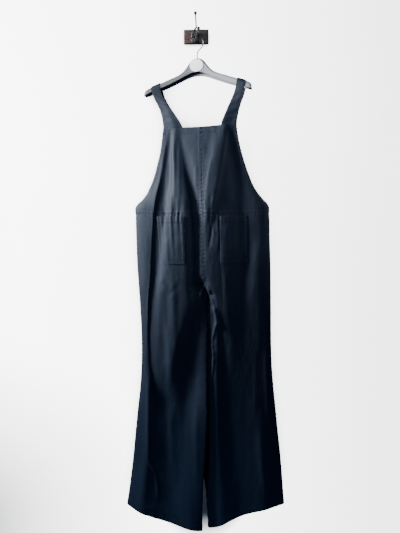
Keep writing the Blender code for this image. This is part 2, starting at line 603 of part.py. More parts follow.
def wire_object(name, points, thickness, material, resolution=3):
    """A round wire along a list of points."""
    data = bpy.data.curves.new(name, "CURVE")
    data.dimensions = "3D"
    data.bevel_depth = thickness / 2
    data.bevel_resolution = resolution
    data.use_fill_caps = True
    data.resolution_u = 1
    line = data.splines.new("POLY")
    line.points.add(len(points) - 1)
    for spot, place in zip(line.points, points):
        spot.co = (*place, 1.0)
    obj = bpy.data.objects.new(name, data)
    obj.data.materials.append(material)
    parts.objects.link(obj)
    return obj


def smooth_route(points, steps):
    """Points on a smooth curve through a few."""
    points = [Vector(p) for p in points]
    ends = [2 * points[0] - points[1]] + points + [2 * points[-1] - points[-2]]
    route = []
    for k in range(len(points) - 1):
        a, b, c, d = ends[k : k + 4]
        for n in range(steps):
            t = n / steps
            route.append(0.5 * (2 * b + (c - a) * t + (2 * a - 5 * b + 4 * c - d) * t**2
                                + (3 * b - a - 3 * c + d) * t**3))
    route.append(points[-1])
    return route


def make_wire_hook(steel):
    """The hanger's hook: straight up from the crown, out to the right and over to the left."""
    along = Vector((math.cos(HANGER_TURN), -math.sin(HANGER_TURN), 0))
    neck = Vector((NECK_X, NECK_Y, 0))
    flat = [(0.0, HOOK_FOOT_Z), (0.0, -0.0720), (0.0002, -0.0650), (0.0060, -0.0566), (0.0135, -0.0500)]
    turn = [math.radians(a) for a in range(-20, HOOK_END + 1, 15)]
    flat += [(HOOK_CENTRE_R + HOOK_RADIUS * math.cos(a), HOOK_CENTRE_Z + HOOK_RADIUS * math.sin(a)) for a in turn]
    route = smooth_route([neck + along * r + Vector((0, 0, z)) for r, z in flat], 2)
    return wire_object("hanger_hook", route, WIRE, steel)


def make_disc(white):
    """The plain oval disc on the crown's face."""
    spot, forward = arm_place(0.0)
    face = arm_value("depth", 0.0) / 2 + SEAM_GAP + DISC_THICKNESS / 2
    middle = spot + forward * face
    bpy.ops.mesh.primitive_cylinder_add(vertices=32, radius=0.5, depth=1.0, location=(middle[0], middle[1], DISC_Z),
                                        rotation=(math.pi / 2, 0, -HANGER_TURN))
    disc = adopt(bpy.context.object, "hanger_disc", white)
    disc.data.transform(Matrix.Diagonal((DISC_WIDTH, DISC_HEIGHT, DISC_THICKNESS, 1)))


def adopt(obj, name, material):
    obj.name = name
    obj.data.name = name
    obj.data.materials.clear()
    obj.data.materials.append(material)
    for home in list(obj.users_collection):
        home.objects.unlink(obj)
    parts.objects.link(obj)
    return obj


def make_block(wood):
    bpy.ops.mesh.primitive_cube_add(size=1.0, location=(0, -BLOCK_SIZE.y / 2, 0))
    block = adopt(bpy.context.object, "wall_block", wood)
    block.data.transform(Matrix.Diagonal((*BLOCK_SIZE, 1)))
    bevel = block.modifiers.new("worn_edges", "BEVEL")
    bevel.width = BLOCK_CHAMFER
    bevel.segments = 1


def joined(name, objects, material):
    """Several closed shapes made one body."""
    graph = bpy.context.evaluated_depsgraph_get()
    bodies = []
    for obj in objects:
        data = bpy.data.meshes.new_from_object(obj.evaluated_get(graph))
        mesh = bmesh.new()
        mesh.from_mesh(data)
        bmesh.ops.remove_doubles(mesh, verts=mesh.verts, dist=WELD)
        mesh.to_mesh(data)
        mesh.free()
        body = bpy.data.objects.new(obj.name + "_body", data)
        body.matrix_world = obj.matrix_world
        bodies.append(body)
        bpy.data.objects.remove(obj)
    whole = bodies[0]
    whole.name = name
    whole.data.materials.clear()
    whole.data.materials.append(material)
    parts.objects.link(whole)
    for other in bodies[1:]:
        cutters.objects.link(other)
        other.hide_render = True
        other.display_type = "WIRE"
        union = whole.modifiers.new("join_" + other.name, "BOOLEAN")
        union.operation = "UNION"
        union.object = other
    return whole


def make_wall_hook(iron):
    """An iron plate with a long upper prong and a short lower one, each with a knob."""
    plate_y = -BLOCK_SIZE.y - SEAM_GAP - PLATE_SIZE.y / 2
    bpy.ops.mesh.primitive_cube_add(size=1.0, location=(PLATE_X, plate_y, PLATE_Z))
    plate = adopt(bpy.context.object, "plate", iron)
    plate.data.transform(Matrix.Diagonal((*PLATE_SIZE, 1)))
    edge = plate.modifiers.new("edge", "BEVEL")
    edge.width = 0.0006
    upper = smooth_route([(-0.0105, plate_y, -0.0040), (-0.0108, -0.0300, 0.0040), (-0.0060, -0.0400, 0.0135),
                          (0.0003, -0.0520, 0.0195), (-0.0001, -0.0620, 0.0270), UPPER_TIP], 4)
    lower = smooth_route([(-0.0020, plate_y, -0.0130), (-0.0015, -0.0330, -0.0150), (-0.0010, -0.0520, -0.0170),
                          SEAT - Vector((0, 0, PRONG / 2)), (0.0030, -0.0830, -0.0090), LOWER_TIP], 4)
    pieces = [plate, wire_object("upper_prong", upper, PRONG, iron, 2), wire_object("lower_prong", lower, PRONG, iron, 2)]
    for name, tip in (("upper_knob", UPPER_TIP), ("lower_knob", LOWER_TIP)):
        bpy.ops.mesh.primitive_uv_sphere_add(segments=14, ring_count=9, radius=KNOB_RADIUS, location=tip)
        pieces.append(adopt(bpy.context.object, name, iron))
    joined("wall_hook", pieces, iron)


def make_screws(iron):
    """Two round screw heads on the plate."""
    y = -BLOCK_SIZE.y - 2 * SEAM_GAP - PLATE_SIZE.y - SCREW_RISE / 2
    for name, x, z in SCREWS:
        bpy.ops.mesh.primitive_cylinder_add(vertices=16, radius=SCREW_RADIUS, depth=SCREW_RISE, location=(x, y, z),
                                            rotation=(math.pi / 2, 0, 0))
        adopt(bpy.context.object, name, iron)


def finish(name, colour, roughness, metallic=0.0):
    material = bpy.data.materials.new(name)
    material.use_nodes = True
    shader = material.node_tree.nodes["Principled BSDF"]
    shader.inputs["Base Color"].default_value = (*colour, 1.0)
    shader.inputs["Roughness"].default_value = roughness
    shader.inputs["Metallic"].default_value = metallic
    return material


for old in list(bpy.data.objects):
    bpy.data.objects.remove(old)
parts = bpy.data.collections.new("overalls")
cutters = bpy.data.collections.new("cutters")
bpy.context.scene.collection.children.link(parts)
bpy.context.scene.collection.children.link(cutters)
cutters.hide_render = True

cloth = finish("dark_navy_cotton", (0.012, 0.015, 0.026), 0.62)
plastic = finish("grey_plastic", (0.42, 0.42, 0.43), 0.35)
white = finish("white_plastic", (0.80, 0.80, 0.80), 0.40)
steel = finish("zinc_steel", (0.55, 0.54, 0.52), 0.30, 1.0)
iron = finish("dark_iron", (0.10, 0.095, 0.09), 0.50, 1.0)
wood = finish("old_wood", (0.16, 0.085, 0.07), 0.75)

make_panels(garment_net(), cloth)
make_strap(LEFT, "left", cloth)
make_strap(RIGHT, "right", cloth)
make_hanger(plastic)
make_disc(white)
make_block(wood)
make_wall_hook(iron)
make_screws(iron)
make_wire_hook(steel)
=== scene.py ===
"""The finished look of wide-leg overalls on a plastic clothes hanger, hung from an iron hook on a wooden block.

Metres, +Z up, the wall at y = 0 and the front of the garment towards -Y. Left and right are the viewer's.
"""

import math
from collections import namedtuple

import bpy
import numpy as np
from mathutils import Matrix, Vector


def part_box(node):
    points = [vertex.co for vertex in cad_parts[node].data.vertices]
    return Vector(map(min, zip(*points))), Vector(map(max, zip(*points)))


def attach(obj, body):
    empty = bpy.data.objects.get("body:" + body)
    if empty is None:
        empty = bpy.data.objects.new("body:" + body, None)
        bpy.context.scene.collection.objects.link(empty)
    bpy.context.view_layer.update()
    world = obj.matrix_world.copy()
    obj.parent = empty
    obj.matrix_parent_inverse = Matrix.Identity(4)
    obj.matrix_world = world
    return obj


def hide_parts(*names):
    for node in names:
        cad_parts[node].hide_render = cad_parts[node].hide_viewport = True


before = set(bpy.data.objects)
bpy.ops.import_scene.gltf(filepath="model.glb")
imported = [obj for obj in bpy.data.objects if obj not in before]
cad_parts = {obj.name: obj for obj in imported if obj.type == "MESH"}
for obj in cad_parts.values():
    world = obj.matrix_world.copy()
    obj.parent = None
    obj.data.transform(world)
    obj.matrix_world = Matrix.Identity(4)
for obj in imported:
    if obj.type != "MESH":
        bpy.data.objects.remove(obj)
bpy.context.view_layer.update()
bpy.ops.object.select_all(action="DESELECT")

# Camera
PHOTO_WIDTH, PHOTO_HEIGHT = 400, 533
LENS_PIXELS = 600
SENSOR = 36.0
EYE = Vector((0.0044, -2.0300, -0.5267))
EYE_PITCH, EYE_ROLL = math.radians(-6.32), math.radians(-0.6)

# Cloth and sewing
CLOTH = 0.0016
PANEL_CLOTH = 0.0018
SEAM_GAP = 0.0003
FRONT, BACK = -1, 1
LEFT, RIGHT = -1, 1
NAMES = {LEFT: "left", RIGHT: "right"}

# Garment: the heights of its seams and edges, and its centre line
CENTRE_X = 0.0124
FRONT_NECK_Z = -0.2955
BACK_NECK_Z = -0.3020
NECK_TILT = 0.055
UNDERARM_Z = -0.5450
WAIST_Z = -0.5700
POCKET_TOP_Z = -0.5780
POCKET_BOTTOM_Z = -0.7310
CROTCH_Z = -0.8040
HEM_LEVEL_START_Z = -1.2500
INNER_HEM_Z = -1.6500
CROTCH_ROUNDING = 0.050
CROTCH_WIDTH = 0.030
LEGS_ROUND_Z = -1.0200

# The section of the garment at each height: half widths, how far front and back stand from the middle
# sheet, where that sheet is, its turn in degrees, half the armhole's opening, and half the gap of the legs
Section = namedtuple("Section", "z left right front back middle_y turn armhole leg_gap")
SECTIONS = (
    Section(-0.290, 0.1208, 0.1115, 0.020, 0.016, -0.0700, 13.0, 0.012, 0.0),
    Section(-0.335, 0.1268, 0.1183, 0.024, 0.018, -0.0700, 10.8, 0.011, 0.0),
    Section(-0.373, 0.1325, 0.1268, 0.027, 0.020, -0.0695, 9.2, 0.010, 0.0),
    Section(-0.410, 0.1420, 0.1372, 0.030, 0.022, -0.0690, 7.8, 0.009, 0.0),
    Section(-0.449, 0.1528, 0.1508, 0.032, 0.024, -0.0685, 6.5, 0.008, 0.0),
    Section(-0.488, 0.1690, 0.1680, 0.034, 0.025, -0.0680, 5.5, 0.006, 0.0),
    Section(-0.507, 0.1790, 0.1805, 0.035, 0.026, -0.0675, 5.1, 0.005, 0.0),
    Section(-0.527, 0.1955, 0.1975, 0.036, 0.027, -0.0670, 4.7, 0.003, 0.0),
    Section(-0.545, 0.2150, 0.2140, 0.037, 0.028, -0.0665, 4.3, 0.0, 0.0),
    Section(-0.575, 0.2165, 0.2172, 0.038, 0.029, -0.0660, 3.9, 0.0, 0.0),
    Section(-0.655, 0.2164, 0.2200, 0.039, 0.031, -0.0645, 2.9, 0.0, 0.0),
    Section(-0.735, 0.2150, 0.2230, 0.039, 0.031, -0.0630, 2.1, 0.0, 0.0),
    Section(-0.804, 0.2117, 0.2245, 0.038, 0.030, -0.0620, 1.5, 0.0, 0.0),
    Section(-0.895, 0.2075, 0.2258, 0.036, 0.029, -0.0605, 0.9, 0.0, 0.00115),
    Section(-0.975, 0.2055, 0.2267, 0.035, 0.029, -0.0595, 0.5, 0.0, 0.00115),
    Section(-1.060, 0.2070, 0.2288, 0.034, 0.028, -0.0590, 0.2, 0.0, 0.00115),
    Section(-1.142, 0.2125, 0.2345, 0.034, 0.028, -0.0590, 0.0, 0.0, 0.00115),
    Section(-1.225, 0.2230, 0.2427, 0.034, 0.028, -0.0590, 0.0, 0.0, 0.00115),
    Section(-1.310, 0.2330, 0.2511, 0.035, 0.029, -0.0590, 0.0, 0.0, 0.0022),
    Section(-1.395, 0.2425, 0.2600, 0.036, 0.030, -0.0590, 0.0, 0.0, 0.0035),
    Section(-1.483, 0.2545, 0.2672, 0.038, 0.031, -0.0590, 0.0, 0.0, 0.0070),
    Section(-1.570, 0.2680, 0.2735, 0.040, 0.032, -0.0590, 0.0, 0.0, 0.0110),
    Section(-1.655, 0.2760, 0.2790, 0.041, 0.033, -0.0590, 0.0, 0.0, 0.0138),
)

# The centre seam and the inseams don't hang quite straight
Sway = namedtuple("Sway", "z x")
INSEAM_SWAY = (
    Sway(-0.290, 0.0), Sway(-0.500, 0.001), Sway(-0.700, 0.0), Sway(-0.850, -0.002), Sway(-1.000, 0.002),
    Sway(-1.100, -0.001), Sway(-1.220, 0.003), Sway(-1.340, 0.001), Sway(-1.460, -0.001), Sway(-1.655, 0.0),
)

# The hem rises from the inseam to the side seam: by how much, and how the rise is spread
Hem = namedtuple("Hem", "rise power from_side")
HEMS = {LEFT: Hem(0.0850, 1.3, False), RIGHT: Hem(0.0800, 1.7, True)}

# The largest folds: a ridge, or a trough with a negative height, along a line down the cloth. Each row
# is where the fold's line lies at a height, how wide it is and how high it stands there
Crest = namedtuple("Crest", "z x width height")
FRONT_FOLDS = (
    # from the left strap down over the bib, the first ridge and the troughs on both its sides
    (Crest(-0.290, -0.086, 0.018, 0.003), Crest(-0.340, -0.089, 0.019, 0.006), Crest(-0.410, -0.091, 0.021, 0.009),
     Crest(-0.490, -0.087, 0.025, 0.010), Crest(-0.570, -0.082, 0.030, 0.006), Crest(-0.640, -0.080, 0.030, 0.0)),
    (Crest(-0.300, -0.107, 0.016, 0.0), Crest(-0.340, -0.110, 0.018, -0.003), Crest(-0.430, -0.125, 0.020, -0.008),
     Crest(-0.510, -0.141, 0.021, -0.012), Crest(-0.570, -0.153, 0.020, -0.013), Crest(-0.655, -0.160, 0.019, -0.014),
     Crest(-0.750, -0.167, 0.018, -0.015), Crest(-0.865, -0.178, 0.018, -0.014), Crest(-0.980, -0.181, 0.018, -0.012),
     Crest(-1.075, -0.176, 0.020, -0.010), Crest(-1.150, -0.166, 0.022, -0.007), Crest(-1.250, -0.160, 0.024, 0.0)),
    (Crest(-0.290, -0.066, 0.018, 0.0), Crest(-0.340, -0.062, 0.019, -0.004), Crest(-0.410, -0.054, 0.021, -0.008),
     Crest(-0.490, -0.040, 0.022, -0.009), Crest(-0.570, -0.030, 0.022, -0.009), Crest(-0.655, -0.026, 0.020, -0.009),
     Crest(-0.800, -0.028, 0.020, -0.008), Crest(-0.920, -0.040, 0.024, -0.007), Crest(-1.060, -0.055, 0.028, -0.006),
     Crest(-1.200, -0.070, 0.030, -0.004), Crest(-1.300, -0.080, 0.030, 0.0)),
    # the crest from the right corner of the neck to the middle of the waist, and the broad valley beyond it
    (Crest(-0.285, 0.066, 0.018, 0.002), Crest(-0.340, 0.056, 0.020, 0.006), Crest(-0.410, 0.042, 0.022, 0.008),
     Crest(-0.490, 0.030, 0.022, 0.008), Crest(-0.570, 0.018, 0.020, 0.006), Crest(-0.640, 0.012, 0.018, 0.0)),
    (Crest(-0.285, 0.098, 0.020, 0.0), Crest(-0.335, 0.100, 0.024, -0.006), Crest(-0.410, 0.112, 0.030, -0.011),
     Crest(-0.490, 0.122, 0.034, -0.014), Crest(-0.570, 0.130, 0.036, -0.015), Crest(-0.720, 0.134, 0.036, -0.015),
     Crest(-0.860, 0.130, 0.036, -0.012), Crest(-0.960, 0.124, 0.036, -0.009), Crest(-1.200, 0.112, 0.036, -0.006),
     Crest(-1.450, 0.118, 0.034, -0.008), Crest(-1.660, 0.124, 0.034, -0.010)),
    # the broad soft fold that hangs from the left pocket, and the one beside the right pocket
    (Crest(-0.560, -0.100, 0.030, 0.0), Crest(-0.655, -0.104, 0.036, 0.006), Crest(-0.860, -0.103, 0.038, 0.011),
     Crest(-1.000, -0.106, 0.034, 0.012), Crest(-1.130, -0.122, 0.028, 0.009), Crest(-1.200, -0.130, 0.026, 0.0)),
    (Crest(-0.570, 0.060, 0.018, 0.0), Crest(-0.640, 0.060, 0.018, 0.005), Crest(-0.740, 0.062, 0.018, 0.007),
     Crest(-0.860, 0.066, 0.020, 0.006), Crest(-1.000, 0.070, 0.022, 0.0)),
    # the legs: fullness along both inseams, and the waves that reach the hems
    (Crest(-0.860, -0.026, 0.020, 0.0), Crest(-0.960, -0.026, 0.024, 0.008), Crest(-1.150, -0.028, 0.030, 0.012),
     Crest(-1.350, -0.034, 0.036, 0.013), Crest(-1.660, -0.050, 0.040, 0.014)),
    (Crest(-0.860, 0.030, 0.020, 0.0), Crest(-0.960, 0.030, 0.024, 0.006), Crest(-1.150, 0.036, 0.030, 0.009),
     Crest(-1.350, 0.046, 0.036, 0.010), Crest(-1.660, 0.062, 0.038, 0.011)),
    (Crest(-1.150, -0.120, 0.030, 0.0), Crest(-1.300, -0.124, 0.036, -0.009), Crest(-1.450, -0.130, 0.040, -0.012),
     Crest(-1.660, -0.138, 0.040, -0.010)),
    (Crest(-1.060, -0.178, 0.014, 0.0), Crest(-1.200, -0.184, 0.016, 0.006), Crest(-1.400, -0.196, 0.018, 0.009),
     Crest(-1.540, -0.212, 0.022, 0.008), Crest(-1.660, -0.222, 0.024, 0.006)),
    (Crest(-1.100, 0.180, 0.030, 0.0), Crest(-1.300, 0.190, 0.032, 0.008), Crest(-1.500, 0.202, 0.034, 0.011),
     Crest(-1.660, 0.212, 0.034, 0.011)),
)
BACK_FOLDS = (
    (Crest(-0.300, 0.082, 0.014, 0.003), Crest(-0.400, 0.088, 0.020, 0.008), Crest(-0.520, 0.092, 0.028, 0.008),
     Crest(-0.660, 0.096, 0.034, 0.005), Crest(-0.780, 0.098, 0.034, 0.0)),
    (Crest(-0.310, -0.082, 0.014, 0.002), Crest(-0.420, -0.092, 0.022, 0.007), Crest(-0.560, -0.098, 0.030, 0.007),
     Crest(-0.700, -0.102, 0.034, 0.004), Crest(-0.800, -0.104, 0.034, 0.0)),
    (Crest(-0.330, 0.030, 0.024, 0.0), Crest(-0.450, 0.026, 0.030, -0.006), Crest(-0.600, 0.030, 0.034, -0.007),
     Crest(-0.740, 0.046, 0.034, -0.004), Crest(-0.820, 0.050, 0.034, 0.0)),
    (Crest(-0.420, -0.150, 0.020, 0.0), Crest(-0.560, -0.160, 0.024, -0.008), Crest(-0.760, -0.162, 0.026, -0.009),
     Crest(-0.960, -0.150, 0.030, -0.006), Crest(-1.150, -0.146, 0.034, 0.0)),
    (Crest(-0.480, 0.150, 0.024, 0.0), Crest(-0.640, 0.162, 0.028, -0.008), Crest(-0.860, 0.164, 0.030, -0.009),
     Crest(-1.100, 0.156, 0.034, -0.004), Crest(-1.250, 0.150, 0.034, 0.0)),
    (Crest(-0.820, -0.100, 0.034, 0.0), Crest(-1.050, -0.104, 0.040, 0.006), Crest(-1.350, -0.112, 0.044, 0.008),
     Crest(-1.660, -0.120, 0.046, 0.009)),
    (Crest(-0.820, 0.108, 0.034, 0.0), Crest(-1.050, 0.110, 0.040, 0.005), Crest(-1.350, 0.118, 0.044, 0.007),
     Crest(-1.660, 0.128, 0.046, 0.009)),
    (Crest(-1.150, -0.196, 0.030, 0.0), Crest(-1.400, -0.200, 0.034, -0.006), Crest(-1.660, -0.210, 0.036, -0.009)),
    (Crest(-1.150, 0.200, 0.030, 0.0), Crest(-1.400, 0.206, 0.034, -0.006), Crest(-1.660, 0.214, 0.036, -0.009)),
    (Crest(-1.100, 0.040, 0.028, 0.0), Crest(-1.400, 0.046, 0.032, -0.006), Crest(-1.660, 0.056, 0.034, -0.009)),
    (Crest(-1.000, -0.040, 0.028, 0.0), Crest(-1.300, -0.046, 0.032, -0.006), Crest(-1.660, -0.058, 0.034, -0.009)),
)

# How the finished cloth departs from those folds: their flanks steeper or flatter, or a little to one side
FRONT_SHAPING = (
    # the left edge of the bib and the strip beside the side seam stand out
    (Crest(-0.312, -0.111, 0.010, 0.000), Crest(-0.346, -0.116, 0.010, 0.003),
     Crest(-0.393, -0.123, 0.011, 0.006), Crest(-0.437, -0.130, 0.012, 0.0085),
     Crest(-0.478, -0.139, 0.013, 0.011), Crest(-0.519, -0.150, 0.014, 0.0125),
     Crest(-0.566, -0.157, 0.015, 0.013), Crest(-0.653, -0.164, 0.016, 0.013),
     Crest(-0.747, -0.172, 0.015, 0.014), Crest(-0.862, -0.182, 0.012, 0.0135),
     Crest(-0.981, -0.188, 0.012, 0.012), Crest(-1.075, -0.188, 0.014, 0.009),
     Crest(-1.154, -0.181, 0.020, 0.005), Crest(-1.253, -0.173, 0.024, 0.000)),
    # the trough on their right
    (Crest(-0.300, -0.098, 0.008, -0.0015), Crest(-0.337, -0.100, 0.008, -0.005),
     Crest(-0.384, -0.106, 0.009, -0.0075), Crest(-0.431, -0.108, 0.011, -0.0085),
     Crest(-0.478, -0.112, 0.012, -0.009), Crest(-0.525, -0.118, 0.014, -0.009),
     Crest(-0.605, -0.129, 0.016, -0.009), Crest(-0.669, -0.136, 0.017, -0.009),
     Crest(-0.734, -0.144, 0.016, -0.008), Crest(-0.816, -0.153, 0.014, -0.006),
     Crest(-0.915, -0.159, 0.014, -0.005), Crest(-1.015, -0.159, 0.015, -0.003),
     Crest(-1.133, -0.151, 0.018, 0.000), Crest(-1.202, -0.146, 0.020, 0.000)),
    # the first ridge of the bib leans to the right
    (Crest(-0.331, -0.070, 0.009, 0.000), Crest(-0.384, -0.065, 0.010, 0.0028),
     Crest(-0.431, -0.060, 0.012, 0.0056), Crest(-0.479, -0.055, 0.014, 0.0084),
     Crest(-0.526, -0.049, 0.016, 0.0095), Crest(-0.574, -0.048, 0.015, 0.0065),
     Crest(-0.622, -0.045, 0.014, 0.0015), Crest(-0.654, -0.046, 0.014, 0.000)),
    # the trough beyond it
    (Crest(-0.300, -0.060, 0.012, 0.000), Crest(-0.337, -0.054, 0.012, 0.0016),
     Crest(-0.384, -0.052, 0.012, 0.0018), Crest(-0.431, -0.046, 0.012, 0.0015),
     Crest(-0.479, -0.040, 0.012, 0.0006), Crest(-0.501, -0.037, 0.012, 0.000)),
    # the dark fold left of the centre seam
    (Crest(-0.479, -0.024, 0.012, 0.000), Crest(-0.526, -0.015, 0.012, -0.0026),
     Crest(-0.568, -0.009, 0.012, -0.0036), Crest(-0.606, -0.010, 0.012, -0.0042),
     Crest(-0.671, -0.012, 0.012, -0.0042), Crest(-0.736, -0.014, 0.012, -0.004),
     Crest(-0.817, -0.019, 0.012, -0.003), Crest(-0.876, -0.022, 0.012, 0.000)),
    # the crest right of the centre
    (Crest(-0.277, 0.076, 0.011, 0.0018), Crest(-0.339, 0.072, 0.011, 0.0036),
     Crest(-0.385, 0.064, 0.011, 0.0034), Crest(-0.432, 0.056, 0.011, 0.0034),
     Crest(-0.480, 0.047, 0.011, 0.0036), Crest(-0.527, 0.036, 0.011, 0.0028),
     Crest(-0.568, 0.023, 0.010, 0.000)),
    # the soft fold under the left pocket
    (Crest(-0.542, -0.054, 0.020, 0.000), Crest(-0.596, -0.051, 0.020, 0.0034),
     Crest(-0.670, -0.052, 0.020, 0.0046), Crest(-0.735, -0.050, 0.020, 0.0054),
     Crest(-0.817, -0.051, 0.019, 0.0066), Crest(-0.916, -0.065, 0.019, 0.0062),
     Crest(-1.016, -0.090, 0.017, 0.0034), Crest(-1.090, -0.107, 0.016, 0.000)),
    # the soft hollow on its left
    (Crest(-0.541, -0.102, 0.018, 0.000), Crest(-0.605, -0.103, 0.018, -0.0026),
     Crest(-0.670, -0.107, 0.018, -0.003), Crest(-0.734, -0.111, 0.018, -0.0034),
     Crest(-0.816, -0.116, 0.018, -0.0036), Crest(-0.915, -0.121, 0.018, -0.003),
     Crest(-1.015, -0.129, 0.018, -0.0015), Crest(-1.089, -0.137, 0.016, 0.000)),
    # the fold beside the right pocket lies flatter
    (Crest(-0.556, 0.055, 0.016, 0.000), Crest(-0.607, 0.058, 0.016, -0.0045),
     Crest(-0.671, 0.059, 0.017, -0.007), Crest(-0.736, 0.060, 0.017, -0.008),
     Crest(-0.818, 0.063, 0.018, -0.0075), Crest(-0.901, 0.065, 0.018, -0.004),
     Crest(-1.001, 0.068, 0.019, 0.000)),
    # the end of the long fold on the left leg
    (Crest(-0.949, -0.115, 0.020, 0.000), Crest(-1.015, -0.123, 0.022, -0.002),
     Crest(-1.083, -0.127, 0.025, -0.0065), Crest(-1.144, -0.130, 0.027, -0.0095),
     Crest(-1.195, -0.132, 0.027, -0.0075), Crest(-1.267, -0.137, 0.027, 0.000)),
    # the left leg's front stands out as far as the inseam
    (Crest(-0.850, 0.001, 0.012, 0.000), Crest(-0.916, -0.000, 0.014, 0.008),
     Crest(-1.017, -0.001, 0.018, 0.012), Crest(-1.152, -0.002, 0.026, 0.013),
     Crest(-1.289, -0.002, 0.032, 0.013), Crest(-1.429, -0.007, 0.034, 0.013),
     Crest(-1.660, -0.011, 0.034, 0.012)),
    # the hollow along it
    (Crest(-0.850, -0.032, 0.012, 0.000), Crest(-0.916, -0.036, 0.014, -0.0025),
     Crest(-1.016, -0.044, 0.016, -0.004), Crest(-1.151, -0.055, 0.020, -0.005),
     Crest(-1.289, -0.074, 0.024, -0.0045), Crest(-1.428, -0.089, 0.026, -0.004),
     Crest(-1.660, -0.106, 0.028, -0.003)),
    # the right leg's inner side lies flatter
    (Crest(-0.851, 0.043, 0.018, 0.000), Crest(-0.934, 0.059, 0.020, -0.004),
     Crest(-1.051, 0.065, 0.024, -0.007), Crest(-1.187, 0.070, 0.028, -0.008),
     Crest(-1.325, 0.076, 0.032, -0.008), Crest(-1.465, 0.079, 0.035, -0.006),
     Crest(-1.660, 0.085, 0.038, -0.005)),
    # the right leg's middle lies flatter
    (Crest(-0.852, 0.124, 0.034, 0.000), Crest(-0.951, 0.124, 0.035, 0.0005),
     Crest(-1.018, 0.121, 0.036, 0.0005), Crest(-1.188, 0.117, 0.036, 0.000),
     Crest(-1.360, 0.116, 0.035, 0.001), Crest(-1.660, 0.115, 0.034, 0.004)),
    # the lower flank of the first ridge
    (Crest(-0.322, -0.087, 0.014, 0.000), Crest(-0.368, -0.088, 0.015, -0.0015),
     Crest(-0.415, -0.092, 0.016, -0.0026), Crest(-0.494, -0.088, 0.016, -0.0032),
     Crest(-0.567, -0.083, 0.016, -0.002), Crest(-0.615, -0.081, 0.016, 0.000)),
    # the low ridge over the crotch
    (Crest(-0.495, 0.011, 0.010, 0.000), Crest(-0.543, 0.012, 0.010, -0.002),
     Crest(-0.607, 0.013, 0.010, -0.003), Crest(-0.671, 0.010, 0.010, -0.0026),
     Crest(-0.736, 0.008, 0.010, -0.0022), Crest(-0.801, 0.008, 0.010, 0.000)),
    # the folded edge of the left leg
    (Crest(-0.850, 0.004, 0.006, 0.000), Crest(-0.903, 0.003, 0.007, 0.004),
     Crest(-1.017, 0.002, 0.008, 0.005), Crest(-1.290, 0.001, 0.009, 0.005),
     Crest(-1.660, -0.007, 0.009, 0.005)),
    # the left leg lies flatter under the pocket
    (Crest(-0.724, -0.173, 0.028, 0.000), Crest(-0.816, -0.175, 0.030, 0.0055),
     Crest(-0.915, -0.177, 0.032, 0.0085), Crest(-1.015, -0.178, 0.034, 0.0085),
     Crest(-1.116, -0.180, 0.034, 0.0065), Crest(-1.270, -0.184, 0.032, 0.000)),
    # the right half of the right leg falls away
    (Crest(-0.852, 0.176, 0.046, 0.000), Crest(-0.952, 0.176, 0.048, -0.005),
     Crest(-1.052, 0.176, 0.050, -0.007), Crest(-1.292, 0.183, 0.052, -0.008),
     Crest(-1.466, 0.193, 0.054, -0.007), Crest(-1.645, 0.200, 0.056, -0.006)),
)

